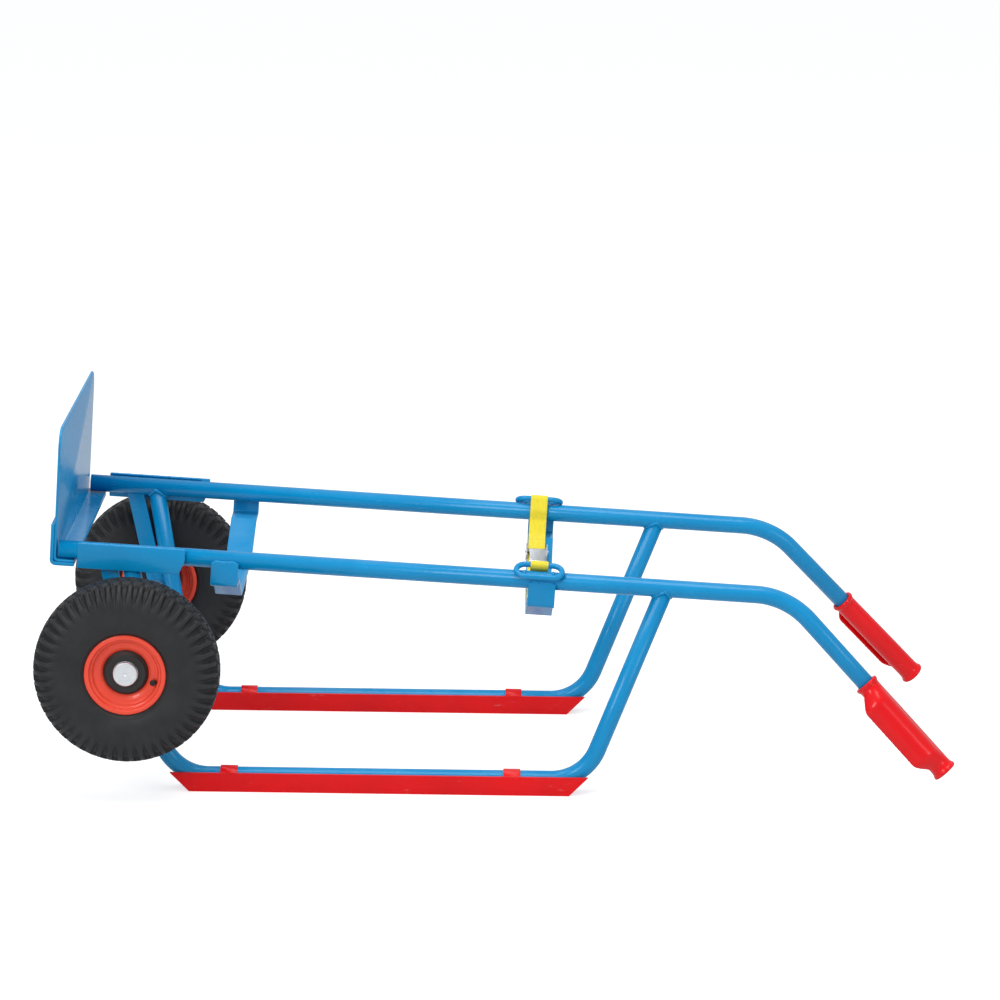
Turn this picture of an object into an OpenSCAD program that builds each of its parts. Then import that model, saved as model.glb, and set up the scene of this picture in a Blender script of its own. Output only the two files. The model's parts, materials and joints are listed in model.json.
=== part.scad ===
// Drum dolly: tubular truck that carries a steel or plastic drum on two rails.
// It lies in its dispensing position on two skids, with its wheels off the floor.
// X runs from the wheels to the grips, Z is up, and the skids stand on Z = 0.
// "Deck" places are measured along and square to the sloping rails.

/* [Frame tubes] */
// Outside diameter of every frame tube
tube_d = 25; // [22:0.5:28]
// Wall of the frame tubes
tube_wall = 2; // [1.5:0.25:3]
// Distance between the two rail centrelines
rail_gap = 432; // [360:1:520]
// Height of the rail centreline above the floor, over the axle
rail_height = 340; // [320:1:420]
// Fall of the rails towards the grips, in degrees
rail_slope = 3.1; // [0:0.1:5]
// Length of the straight rail from the axle to the handle corner
rail_length = 921; // [880:1:1150]
// Gap left at every welded or seated face
seat = 0.1; // [0.05:0.05:0.2]

/* [Handles] */
// Bend of the handle away from the rail, in degrees
handle_bend = 44.2; // [30:0.1:60]
// Roll of the handle bend outwards, in degrees
handle_roll = 12.5; // [0:0.5:20]
// Centreline radius of the handle bend
handle_radius = 110; // [60:1:120]
// Length of the handle from its corner to the end of the grip
handle_length = 331; // [290:1:360]
// Length of the grip
grip_length = 168; // [140:1:180]
// Diameter of the grip's barrel
grip_d = 31; // [30:0.5:33]
// Depth of the hand guard below the barrel's centre
guard_drop = 30.5; // [26:0.5:36]
// Reach of the hand guard outboard of the barrel's centre
hood_reach = 27; // [24:0.5:34]

/* [Skids] */
// Height of the skid tube's centreline above the floor
skid_height = 19.6; // [19.2:0.1:22]
// Distance from the axle to the handle-side corner of the skid tube
skid_reach = 640; // [600:1:700]
// Lean of the handle-side legs from upright, in degrees
leg_lean = 21.2; // [15:0.1:25]
// Lean of the wheel-side legs from upright, in degrees
stay_lean = 9; // [5:0.1:12]
// Centreline radius of the skid bends
skid_radius = 70; // [50:1:80]
// Width of a skid shoe
shoe_w = 34; // [33.5:0.5:38]
// Height of a skid shoe
shoe_h = 27; // [24:0.5:30]
// Length of a skid shoe along its top
shoe_length = 590; // [560:1:600]
// Width of a shoe's clip over the tube
clip_w = 24; // [16:1:30]

/* [Toe and plates] */
// Height of the toe plate above the rail centreline
toe_height = 172; // [120:1:220]
// Thickness of the toe plate
toe_t = 3.5; // [3:0.25:5]
// Radius of the toe plate's upper corners
toe_corner = 28; // [10:1:45]
// Thickness of the heel angle
heel_t = 5; // [4:0.5:7]
// Height of the heel angle
heel_h = 59; // [45:1:75]
// Depth of the heel angle along the rails
heel_depth = 34; // [32:1:50]
// Length of a rail plate
plate_length = 142; // [120:1:170]
// Height of a rail plate
plate_h = 36; // [30:1:42]
// Thickness of a rail plate
plate_t = 4.5; // [3:0.5:6]

/* [Cradle and strap] */
// Place of the front cradle bar along the rails, from the axle
front_bar_x = 134; // [120:1:200]
// Place of the rear cradle bar along the rails, from the axle
rear_bar_x = 577; // [520:1:620]
// Width of a cradle bar
bar_w = 38; // [30:1:45]
// Thickness of a cradle bar
bar_t = 4; // [3:0.5:5]
// Depth of the bar ends below the rail centreline
bar_drop = 36.5; // [32:0.5:40]
// Depth of the bar middles below the rail centreline
bar_dip = 78; // [70:1:90]
// Diameter of the round bar in the strap eyes
eye_bar_d = 8; // [6:0.5:9]
// Length of a strap eye over its ends
eye_length = 72; // [60:1:90]
// Width of a strap eye over its bars
eye_w = 34; // [32:0.5:38]
// Width of the webbing
strap_w = 25; // [20:1:30]
// Thickness of the webbing
strap_t = 1.8; // [1.4:0.1:2]
// Outside diameter of the rolled spare webbing
roll_d = 42; // [34:1:50]

/* [Wheels] */
// Diameter of the tyre
tyre_d = 260; // [250:1:270]
// Width of the tyre
tyre_w = 80; // [78:1:85]
// Distance between the wheels' middle planes
track = 550; // [545:1:600]
// Height of the axle above the floor
axle_height = 188; // [180:1:200]
// Diameter of the axle
axle_d = 20; // [18:0.5:22]
// Radius of the rim's edge
rim_r = 57; // [56:0.5:60]
// Radius of the hub
hub_r = 31; // [29:0.5:32]
// Length of the hub
hub_length = 46; // [44:1:56]
// Outside radius of the bearings
bearing_r = 21; // [19:0.5:23]
// Width of the bearings
bearing_w = 12; // [10:1:14]
// Radial running clearance of the bearings on the axle
running = 0.05; // [0.02:0.01:0.09]
// Radius of the axle caps
cap_r = 17; // [15:0.5:18]

/* [Hidden] */
$fn = 48;

tube_r = tube_d / 2;
// Hairline between the straight and bent stretches of one tube.
seam = 0.01;
rail_y = rail_gap / 2;
blue = "steelblue";
red = "red";

// Left is the -Y side, seen by someone who holds the grips.
LEFT = -1;
RIGHT = 1;

// Handle direction in the world, for the overall length.
handle_down = sin(handle_bend) * cos(handle_roll);
handle_along = cos(handle_bend);
grip_end_x = rail_length * cos(rail_slope)
    + handle_length * (handle_along * cos(rail_slope) - handle_down * sin(rail_slope));
grip_end_run = handle_along * cos(rail_slope) - handle_down * sin(rail_slope);
flange_r = 18;
front_x = grip_end_x + flange_r * sqrt(1 - grip_end_run * grip_end_run);
back_x = -tyre_d / 2;
// The origin is the middle of the overall length, so the axle stands behind it.
axle_x = -(front_x + back_x) / 2;

// Skid tube corners, measured from the axle.
stay_offset = (tube_d + axle_d) / 2 + 2 * seat;
stay_corner = stay_offset / cos(stay_lean) + (axle_height - skid_height) * tan(stay_lean);
stay_bend = 90 - stay_lean;
leg_bend = 90 - leg_lean;
stay_centre = stay_corner + skid_radius * tan(stay_bend / 2);
leg_centre = skid_reach - skid_radius * tan(leg_bend / 2);
// Distances from the skid tube's corners up the legs to the rail centreline.
leg_rise = (rail_height - skid_height - skid_reach * tan(rail_slope))
    / (cos(leg_lean) + sin(leg_lean) * tan(rail_slope));
stay_rise = (rail_height - skid_height - stay_corner * tan(rail_slope))
    / (cos(stay_lean) - sin(stay_lean) * tan(rail_slope));
clip_places = [138, 537];
shoe_start = 55;
shoe_wall = (shoe_w - tube_d) / 2 - 2 * seat;

// Toe and heel, along the deck from the axle.
heel_x = -110.6;
heel_inner_r = 3;
rail_start = heel_x + heel_t + toe_t + heel_inner_r + 2 * seat;
plate_start = -72;
plate_face_y = rail_y + tube_r + seat;

// Strap eye: its ends lie on the rail and its two bars stand clear of it.
eye_x = 572;
eye_tilt = 26.5;
eye_r = eye_bar_d / 2;
eye_reach = (eye_w - eye_bar_d) / 2;
eye_centre = (tube_r + eye_r + seat) * [-sin(eye_tilt), cos(eye_tilt)];
eye_inner = [-rail_y, 0] + eye_centre + eye_reach * [cos(eye_tilt), sin(eye_tilt)];

// Cradle bar: middle line of its bent section, on the left half.
bar_end_y = rail_y + tube_r + seat + bar_t / 2;
bar_top = 1;
bar_shelf_y = rail_y - 28;
bar_flat_y = 105;
bar_path = [[-bar_end_y, -bar_top], [-bar_end_y, -bar_drop + bar_t / 2],
            [-bar_shelf_y, -bar_drop + bar_t / 2], [-bar_flat_y, -bar_dip + bar_t / 2],
            [bar_flat_y, -bar_dip + bar_t / 2], [bar_shelf_y, -bar_drop + bar_t / 2],
            [bar_end_y, -bar_drop + bar_t / 2], [bar_end_y, -bar_top]];
ramp = atan((bar_dip - bar_drop) / (bar_shelf_y - bar_flat_y));
ramp_top = bar_t / 2 / cos(ramp);

// Buckle: it lies on the ramp of the rear cradle bar, on the right.
buckle_y = 146;
buckle_z = -bar_dip + bar_t / 2 + (buckle_y - bar_flat_y) * tan(ramp) + ramp_top;
layer = strap_t + 2 * seat;
buckle_floor = 0.3 + layer;
buckle_t = 1.5;
buckle_w = 32;
buckle_length = 44;
web_z = buckle_floor + buckle_t + 0.3 + strap_t / 2;
cam_r = 4.6;
pin_r = 2;
cam_z = web_z + strap_t / 2 + 0.5 + cam_r;
cheek_t = 1.5;
cheek_h = cam_z + 4.5 - buckle_floor;
lever_length = 27;
spring_w = 4;

// Wheel.
wheel_y = track / 2;
cap_t = 4;
washer_t = 1.6;
washer_r = 16;
washer_gap = 0.3;
axle_end = wheel_y + hub_length / 2 + washer_gap + washer_t + washer_gap + cap_t - 1.5;
valve_r = 41.5;
valve_y = 22;
valve_length = 11;
valve_turn = 17;
valve_tilt = 15;
valve_d = 7.6;

// ---- shared shapes -------------------------------------------------------

function unit(v) = v / norm(v);
function square_to(v) = [-v[1], v[0]];

// Offset direction at point i of a path, lengthened at its corners.
function miter(p, i) =
    let (last = len(p) - 1,
         into = i > 0 ? unit(p[i] - p[i - 1]) : unit(p[1] - p[0]),
         out = i < last ? unit(p[i + 1] - p[i]) : into,
         mid = unit(into + out))
    square_to(mid) / (mid * into);

// Arc that rounds the corner b between a and c.
function corner_arc(a, b, c, r, steps) =
    let (u = unit(a - b), v = unit(c - b), half = acos(u * v) / 2,
         centre = b + unit(u + v) * r / sin(half),
         from = b + u * r / tan(half) - centre,
         to = b + v * r / tan(half) - centre)
    [for (k = [0:steps]) centre + r * unit(from * (1 - k / steps) + to * k / steps)];

function rounded(p, r, steps = 5) =
    [p[0], for (i = [1:len(p) - 2]) each corner_arc(p[i - 1], p[i], p[i + 1], r, steps),
     p[len(p) - 1]];

function arc(centre, r, from, to, steps) =
    [for (k = [0:steps]) let (a = from + (to - from) * k / steps)
        centre + r * [cos(a), sin(a)]];

// Flat strip of thickness t along a path.
module strip(path, t) {
    last = len(path) - 1;
    polygon(concat(
        [for (i = [0:last]) path[i] + miter(path, i) * t / 2],
        [for (i = [last:-1:0]) path[i] - miter(path, i) * t / 2]));
}

// A section drawn in Y and Z, w wide along X and centred on it.
module across(w) {
    rotate([90, 0, 90]) translate([0, 0, -w / 2]) linear_extrude(w) children();
}

module on_side(s) {
    if (s == LEFT) children();
    else mirror([0, 1, 0]) children();
}

// Places children on the sloping deck, at a distance from the axle.
module deck(x = 0) {
    translate([axle_x, 0, rail_height]) rotate([0, rail_slope, 0]) translate([x, 0, 0])
        children();
}

// Straight tube along +X, a hairline short of the bends at its ends.
module tube(length) {
    translate([seam, 0, 0]) rotate([0, 90, 0]) difference() {
        cylinder(h = length - 2 * seam, r = tube_r);
        translate([0, 0, -1]) cylinder(h = length + 2, r = tube_r - tube_wall);
    }
}

// Tube bend that starts at the origin along +X and turns towards -Z.
module tube_bend(radius, turn) {
    translate([0, 0, -radius]) rotate([-90, 0, 0]) rotate([0, 0, -90])
        rotate_extrude(angle = turn) translate([radius, 0]) difference() {
            circle(r = tube_r);
            circle(r = tube_r - tube_wall);
        }
}

module at_left_rail() {
    deck() translate([0, -rail_y, 0]) children();
}

// Frame of the left handle: origin at its corner, +X down the handle.
module at_left_handle() {
    deck(rail_length) translate([0, -rail_y, 0]) rotate([-handle_roll, 0, 0])
        rotate([0, handle_bend, 0]) children();
}

module rail_cut() {
    at_left_rail() translate([rail_start, 0, 0]) rotate([0, 90, 0])
        cylinder(h = rail_length - rail_start, r = tube_r + seat);
}

// ---- frame ---------------------------------------------------------------

module rail(s) {
    bend_back = handle_radius * tan(handle_bend / 2);
    color(blue) on_side(s) {
        at_left_rail() translate([rail_start, 0, 0])
            tube(rail_length - bend_back - rail_start);
        deck(rail_length - bend_back) translate([0, -rail_y, 0]) rotate([-handle_roll, 0, 0])
            tube_bend(handle_radius, handle_bend);
        at_left_handle() translate([bend_back, 0, 0]) tube(handle_length - bend_back - 6);
    }
}

// Leg of a skid: a tube that rises from the end of a bend and is coped to the rail.
module skid_leg(turn, length) {
    translate([0, 0, skid_radius]) rotate([0, -turn, 0]) translate([0, 0, -skid_radius])
        tube(length);
}

// U of tube below a rail: a run along the floor with a leg at each end.
module skid_tube(s) {
    leg_length = leg_rise - skid_radius * tan(leg_bend / 2) - 1;
    stay_length = stay_rise - skid_radius * tan(stay_bend / 2) - 1;
    color(blue) on_side(s) {
        translate([axle_x, -rail_y, skid_height]) {
            translate([stay_centre, 0, 0]) tube(leg_centre - stay_centre);
            translate([leg_centre, 0, 0]) mirror([0, 0, 1]) tube_bend(skid_radius, leg_bend);
            translate([stay_centre, 0, 0]) mirror([1, 0, 0]) mirror([0, 0, 1])
                tube_bend(skid_radius, stay_bend);
        }
        difference() {
            translate([axle_x, -rail_y, skid_height]) {
                translate([leg_centre, 0, 0]) skid_leg(leg_bend, leg_length);
                translate([stay_centre, 0, 0]) mirror([1, 0, 0])
                    skid_leg(stay_bend, stay_length);
            }
            rail_cut();
        }
    }
}

module heel_angle() {
    bottom = -tube_r - toe_t - 2 * seat - heel_t / 2;
    path = [[heel_x + heel_depth, bottom], [heel_x + heel_t / 2, bottom],
            [heel_x + heel_t / 2, bottom - heel_t / 2 + heel_h]];
    color(blue) deck() rotate([90, 0, 0]) translate([0, 0, -plate_face_y - 1])
        linear_extrude(2 * plate_face_y + 2)
            strip(rounded(path, heel_inner_r + heel_t / 2), heel_t);
}

// Folded toe: a tall plate with rounded upper corners and a foot under the rails.
module toe_plate() {
    x = heel_x + heel_t + seat + toe_t / 2;
    foot = -tube_r - seat - toe_t / 2;
    half = plate_face_y;
    path = [[heel_x + heel_depth, foot], [x, foot], [x, toe_height + 10]];
    color(blue) deck() intersection() {
        rotate([90, 0, 0]) translate([0, 0, -half]) linear_extrude(2 * half)
            strip(rounded(path, heel_inner_r + toe_t / 2), toe_t);
        translate([heel_x, 0, 0]) rotate([90, 0, 90]) linear_extrude(heel_depth + 5) union() {
            translate([-half, -40]) square([2 * half, 40 + toe_height - toe_corner]);
            translate([-half + toe_corner, -40])
                square([2 * (half - toe_corner), 40 + toe_height]);
            for (y = [-half + toe_corner, half - toe_corner])
                translate([y, toe_height - toe_corner]) circle(r = toe_corner);
        }
    }
}

// Cheek plate welded to the outside of a rail, over the axle.
module rail_plate(s) {
    top = tube_r + 1.5;
    slant = 8;
    color(blue) on_side(s) deck(plate_start) translate([0, -plate_face_y, 0])
        rotate([90, 0, 0]) linear_extrude(plate_t)
            polygon([[0, top], [0, top - plate_h], [plate_length, top - plate_h],
                     [plate_length + slant, top - plate_h + 2.4 * slant],
                     [plate_length + slant, top]]);
}

module cradle_bar(x) {
    color(blue) deck(x) across(bar_w) strip(rounded(bar_path, bar_t / 2 + 3), bar_t);
}

// Stadium ring of round bar, tilted towards the drum.
module strap_eye(s) {
    straight = eye_length - eye_w;
    color(blue) on_side(s) deck(eye_x) translate([0, -rail_y + eye_centre[0], eye_centre[1]])
        rotate([eye_tilt, 0, 0]) {
            for (y = [-eye_reach, eye_reach])
                translate([-straight / 2, y, 0]) rotate([0, 90, 0])
                    cylinder(h = straight, r = eye_r);
            for (end = [0, 1]) mirror([end, 0, 0]) translate([straight / 2, 0, 0])
                rotate([0, 0, -90]) rotate_extrude(angle = 180) translate([eye_reach, 0])
                    circle(r = eye_r);
        }
}

// ---- axle ----------------------------------------------------------------

module on_axle(y = 0) {
    translate([axle_x, y, axle_height]) rotate([-90, 0, 0]) children();
}

module axle() {
    color("silver") on_axle(-axle_end) cylinder(h = 2 * axle_end, r = axle_d / 2);
}

// Flat stay from the rail down to the axle, on the side away from the skid leg.
module axle_stay(s) {
    stay_w = 24;
    stay_t = 6;
    foot_r = axle_d / 2 + stay_t;
    top = [-34, rail_height - axle_height];
    color(blue) on_side(s) difference() {
        translate([axle_x, -rail_y - stay_t / 2, axle_height]) rotate([90, 0, 0])
            mirror([0, 0, 1]) linear_extrude(stay_t) difference() {
                polygon(concat(arc([0, 0], foot_r, 60, -205, 24),
                               [[top[0] - stay_w / 2, top[1]], [top[0] + stay_w / 2, top[1]]]));
                circle(r = axle_d / 2 + seat);
            }
        rail_cut();
        skid_leg_cut();
    }
}

// Room for the wheel-side leg of the left skid tube.
module skid_leg_cut() {
    translate([axle_x + stay_centre, -rail_y, skid_height + skid_radius]) mirror([1, 0, 0])
        rotate([0, -stay_bend, 0]) translate([0, 0, -skid_radius]) rotate([0, 90, 0])
            cylinder(h = rail_height, r = tube_r + seat);
}

// One washer on each side of each wheel.
module axle_washers() {
    reach = hub_length / 2 + washer_gap;
    color("silver") for (s = [LEFT, RIGHT]) for (start = [reach, -reach - washer_t])
        on_axle(s * (wheel_y + start) - (s == LEFT ? washer_t : 0)) difference() {
            cylinder(h = washer_t, r = washer_r);
            translate([0, 0, -1]) cylinder(h = washer_t + 2, r = axle_d / 2 + 0.2);
        }
}

// Pressed cap that grips the axle's end.
module axle_cap(s) {
    start = wheel_y + hub_length / 2 + 2 * washer_gap + washer_t;
    color("silver") on_side(s) on_axle(-start) mirror([0, 0, 1]) difference() {
        union() {
            cylinder(h = cap_t - 1, r = cap_r);
            translate([0, 0, cap_t - 1]) cylinder(h = 1, r1 = cap_r, r2 = cap_r - 1.5, $fn = 64);
        }
        translate([0, 0, -1]) cylinder(h = cap_t - 0.4, r = axle_d / 2 + 0.1);
    }
}

// ---- skid shoes and grips ------------------------------------------------

// Channel shoe with ends cut at 45 degrees and two clips over the tube.
module skid_shoe(s) {
    floor_t = skid_height - tube_r - seat;
    inner = shoe_w - 2 * shoe_wall;
    clip_r = tube_r + seat + 2;
    color(red) on_side(s) translate([axle_x, -rail_y, 0]) {
        intersection() {
            translate([shoe_start, 0, 0]) rotate([90, 0, 90]) linear_extrude(shoe_length)
                difference() {
                    translate([-shoe_w / 2, 0]) square([shoe_w, shoe_h]);
                    translate([-inner / 2, floor_t]) square([inner, shoe_h]);
                }
            rotate([90, 0, 0]) translate([0, 0, -shoe_w]) linear_extrude(2 * shoe_w)
                polygon([[shoe_start + shoe_h, 0], [shoe_start, shoe_h],
                         [shoe_start + shoe_length, shoe_h],
                         [shoe_start + shoe_length - shoe_h, 0]]);
        }
        for (x = clip_places) translate([x - clip_w / 2, 0, 0]) rotate([90, 0, 90])
            linear_extrude(clip_w) difference() {
                union() {
                    translate([0, skid_height]) circle(r = clip_r);
                    translate([-inner / 2 - 0.5, floor_t]) square([inner + 1, shoe_h - floor_t]);
                }
                translate([0, skid_height]) circle(r = tube_r + seat);
                translate([-tube_r - seat, floor_t])
                    square([2 * (tube_r + seat), skid_height - floor_t]);
                translate([-shoe_w, -1]) square([2 * shoe_w, floor_t + 1.01]);
            }
    }
}

// Grip with a collar, an end flange and a hood that guards the knuckles.
// The hood springs from the barrel's outboard top and hangs outside and below it.
module grip(s) {
    start = handle_length - grip_length;
    collar_r = 17.5;
    hood_t = 3.5;
    hood_y = hood_reach - hood_t / 2;
    hood_start = 3;
    hood_end = grip_length - 12;
    end_t = 4;
    side_path = [[hood_start, -6], [hood_start + 5, -12], [32, -guard_drop],
                 [hood_end - 26, -guard_drop], [hood_end - 2, -15], [hood_end, -6]];
    hood_path = [[-8, 11.5], [-hood_y + 5, 9], [-hood_y, -4], [-hood_y, -20],
                 [-hood_y + 6, -guard_drop - 3]];
    color(red) on_side(s) at_left_handle() translate([start, 0, 0]) {
        difference() {
            rotate([0, 90, 0]) union() {
                cylinder(h = grip_length, r = grip_d / 2);
                cylinder(h = 6, r = collar_r);
                translate([0, 0, grip_length - 6]) cylinder(h = 6, r = flange_r);
            }
            rotate([0, 90, 0]) translate([0, 0, -1])
                cylinder(h = grip_length - 4, r = tube_r + seat);
        }
        difference() {
            intersection() {
                union() {
                    translate([(hood_start + hood_end) / 2, 0, 0])
                        across(hood_end - hood_start) strip(rounded(hood_path, 6), hood_t);
                    for (x = [hood_start, hood_end - end_t]) translate([x + end_t / 2, 0, 0])
                        across(end_t) polygon(concat(rounded(hood_path, 6), [[0, -20], [0, 11]]));
                }
                rotate([90, 0, 0]) linear_extrude(2 * hood_reach)
                    polygon(concat(rounded(side_path, 4, 4), [[hood_end, 20], [hood_start, 20]]));
            }
            rotate([0, 90, 0]) translate([0, 0, -1])
                cylinder(h = grip_length + 2, r = grip_d / 2 - 0.4);
        }
    }
}

// ---- wheels --------------------------------------------------------------

// Rounded box section of a tyre: |y/a|^n + |r/b|^n = 1 about its middle radius.
function swell(middle, a, b, n, steps = 44) =
    [for (k = [0:steps - 1]) let (t = 360 * k / steps, c = cos(t), s = sin(t))
        [middle + b * sign(s) * pow(abs(s), 2 / n), a * sign(c) * pow(abs(c), 2 / n)]];

tyre_r = tyre_d / 2;
bead_r = 50.5;
bead_y = 30.5;
casing_t = 5;
tread_t = 12;
casing_middle = (tyre_r + bead_r - 3) / 2;
casing_rise = (tyre_r - bead_r + 3) / 2;
air_low = bead_r - 3 + casing_t;
air_high = tyre_r - tread_t;

module on_wheel(s) {
    on_side(s) on_axle(-wheel_y) mirror([0, 0, 1]) children();
}

module around(steps = 96) {
    rotate_extrude($fn = steps) children();
}

module air_space(gap) {
    polygon(swell((air_low + air_high) / 2, tyre_w / 2 - casing_t - gap,
                  (air_high - air_low) / 2 - gap, 2.4));
}

module tyre(s) {
    color([0.17, 0.17, 0.18]) on_wheel(s) around() difference() {
        polygon(swell(casing_middle, tyre_w / 2, casing_rise, 2.7));
        air_space(0);
        translate([0, -tyre_w]) square([bead_r, 2 * tyre_w]);
        for (end = [0, 1]) mirror([0, end]) translate([0, bead_y])
            square([rim_r + 0.8, tyre_w]);
        translate([0, -bead_y + 8]) square([air_low + 6, 2 * bead_y - 16]);
    }
}

module inner_tube(s) {
    color([0.1, 0.1, 0.1]) on_wheel(s) around() difference() {
        air_space(0.3);
        air_space(2.3);
    }
}

// Half rim of pressed sheet: rolled edge, bead seat, and a dished disc to the hub.
rim_t = 2.2;
seat_r = bead_r - 0.3;
barrel_r = seat_r - rim_t;
edge_y = 33.6;
disc_y = 19.5;
rim_outline = [
    [seat_r, 0.1], [seat_r, bead_y + 0.4], [rim_r - 1.7, bead_y + 0.9],
    [rim_r - 1.5, bead_y + 0.3], [rim_r, bead_y + 0.3], [rim_r, edge_y - 1.6],
    [rim_r - 1.4, edge_y], [rim_r - 6.2, edge_y], [barrel_r, edge_y - 3.4],
    [barrel_r, disc_y + 5.5], [barrel_r - 3, disc_y + 1.8], [hub_r + 7, disc_y],
    [hub_r + seat, disc_y - 4], [hub_r + seat, disc_y - 6.5], [hub_r + 7, disc_y - rim_t],
    [barrel_r - 1.8, disc_y - rim_t + 1.4], [barrel_r, disc_y - 2.4], [barrel_r, 0.1]];

module half_rim() {
    around() polygon(rim_outline);
}

module at_valve() {
    rotate([0, 0, valve_turn]) translate([valve_r, 0, valve_y]) rotate([0, 180 - valve_tilt, 0])
        children();
}

module rim_outer(s) {
    color("orangered") on_wheel(s) difference() {
        half_rim();
        at_valve() translate([0, 0, -1]) cylinder(h = valve_length + 2, r = valve_d / 2 + 0.2);
    }
}

module rim_inner(s) {
    color("orangered") on_wheel(s) mirror([0, 0, 1]) half_rim();
}

module hub(s) {
    half = hub_length / 2;
    color([0.12, 0.12, 0.12]) on_wheel(s) difference() {
        translate([0, 0, -half + 1]) cylinder(h = hub_length - 2, r = hub_r);
        translate([0, 0, -half]) cylinder(h = hub_length, r = axle_d / 2 + 3);
        for (end = [0, 1]) mirror([0, 0, end]) translate([0, 0, half - bearing_w - 0.5])
            cylinder(h = bearing_w + 1, r = bearing_r + seat);
    }
}

module bearings(s) {
    half = hub_length / 2;
    color("silver") on_wheel(s) for (end = [0, 1]) mirror([0, 0, end])
        translate([0, 0, half - bearing_w - 0.3]) difference() {
            cylinder(h = bearing_w, r = bearing_r);
            translate([0, 0, -1]) cylinder(h = bearing_w + 2, r = axle_d / 2 + running);
        }
}

module valve_stem(s) {
    color([0.1, 0.1, 0.1]) on_wheel(s) at_valve() cylinder(h = valve_length, r = valve_d / 2);
}

module valve_cap(s) {
    cap_length = 7.8;
    color([0.1, 0.1, 0.1]) on_wheel(s) at_valve() translate([0, 0, -cap_length - 0.2])
        difference() {
            cylinder(h = cap_length, r = valve_d / 2 + 0.4);
            translate([0, 0, 1.5]) cylinder(h = cap_length, r = 2.6);
        }
}

// ---- strap and buckle ----------------------------------------------------

// Point on the buckle's ramp, given along it and square to it, as a deck place.
function on_ramp(y, z) =
    [buckle_y + y * cos(ramp) - z * sin(ramp), buckle_z + y * sin(ramp) + z * cos(ramp)];

// The webbing hugs the rail's inner side and turns round the eye's inner bar.
wrap_r = eye_r + 0.4 + strap_t / 2;
hug_r = tube_r + 0.7 + strap_t / 2;
lie = bar_t / 2 + 0.3 + strap_t / 2;
flat_z = -bar_dip + bar_t / 2 + lie;
under_y = rail_y - hug_r;
over_y = under_y - strap_t - 0.9;
shelf_z = -bar_drop + bar_t / 2 + lie;

function flip(p) = [for (q = p) [-q[0], q[1]]];

// Angle on the rail at which the webbing leaves it for the eye's inner bar.
eye_away = eye_inner + [rail_y, 0];
leave = atan2(eye_away[1], eye_away[0]) - acos((hug_r + wrap_r) / norm(eye_away));

// Both layers of the loop at the left eye: up beside the rail and back down.
loop_path = concat(
    [[-under_y, -9]],
    arc([-rail_y, 0], hug_r, 0, leave, 5),
    arc(eye_inner, wrap_r, 180 + leave, 12, 13),
    [[-over_y, 6], [-over_y, -8.5]]);

// Webbing: looped round the left eye, along the rear cradle bar, into the buckle.
web_path = concat(
    [[-under_y + 8.6, shelf_z + 3]], loop_path,
    [[-over_y + 8.4, shelf_z + 4.4], [-bar_shelf_y + 5, shelf_z - 0.8],
     [-bar_flat_y + 0.5, flat_z], [bar_flat_y - 10, flat_z]],
    [on_ramp(-30, 4.2), on_ramp(-20, web_z), on_ramp(9, web_z),
     on_ramp(14, web_z + layer + 0.4), on_ramp(32, web_z + layer + 0.6)]);

// Anchor loop: from the buckle's end bar, round the right eye and back.
anchor_path = concat(
    [on_ramp(16.2, 0.3 + strap_t / 2), on_ramp(36, 0.3 + strap_t / 2),
     [under_y - 11.6, shelf_z + 1.7]],
    flip(loop_path),
    [[over_y - 10.7, shelf_z + 4.1], on_ramp(26, web_z - 0.3), on_ramp(13, web_z)]);

module strap_webbing() {
    color("yellow") deck(eye_x) across(strap_w) strip(web_path, strap_t);
}

module strap_anchor() {
    color("yellow") deck(eye_x) across(strap_w) strip(anchor_path, strap_t);
}

// Spare webbing, wound into a roll that stands on the flat of the strap.
module strap_roll() {
    rest = flat_z + strap_t / 2 + 0.3;
    color("yellow") deck(eye_x) translate([0, 0, rest + roll_d / 2]) rotate([0, 90, 0])
        difference() {
            cylinder(h = strap_w, r = roll_d / 2, center = true);
            cylinder(h = strap_w + 2, r = 4, center = true);
        }
}

module at_buckle() {
    deck(eye_x) translate([0, buckle_y, buckle_z]) rotate([ramp, 0, 0]) children();
}

module buckle_body() {
    slot_y = 12;
    color("silver") at_buckle() difference() {
        union() {
            translate([-buckle_w / 2, -buckle_length / 2, buckle_floor])
                cube([buckle_w, buckle_length, buckle_t]);
            for (x = [-buckle_w / 2, buckle_w / 2 - cheek_t])
                translate([x, -13, buckle_floor]) cube([cheek_t, 26, cheek_h]);
        }
        translate([-strap_w / 2 - 0.6, slot_y, 0]) cube([strap_w + 1.2, 5.5, 9]);
        translate([-buckle_w, 0, cam_z]) rotate([0, 90, 0])
            cylinder(h = 2 * buckle_w, r = pin_r + 0.05);
    }
}

module buckle_pin() {
    head_t = 1.2;
    color("silver") at_buckle() translate([0, 0, cam_z]) rotate([0, 90, 0]) {
        cylinder(h = buckle_w + 0.4, r = pin_r, center = true);
        for (end = [0, 1]) mirror([0, 0, end]) translate([0, 0, buckle_w / 2 + 0.2])
            cylinder(h = head_t, r = pin_r + 1);
    }
}

// Toothed cam with its thumb lever.
module buckle_cam() {
    inside = buckle_w / 2 - cheek_t - 0.3;
    color("silver") at_buckle() difference() {
        union() {
            translate([-inside + spring_w, 0, cam_z]) rotate([0, 90, 0])
                cylinder(h = 2 * inside - spring_w, r = cam_r);
            translate([-inside + spring_w, -lever_length, cam_z + 2.6])
                cube([2 * inside - spring_w, lever_length, 2]);
            translate([-inside + spring_w, -lever_length, cam_z + 3.6]) rotate([0, 90, 0])
                cylinder(h = 2 * inside - spring_w, r = 2.2);
        }
        translate([-buckle_w, 0, cam_z]) rotate([0, 90, 0])
            cylinder(h = 2 * buckle_w, r = pin_r + running);
    }
}

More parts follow.
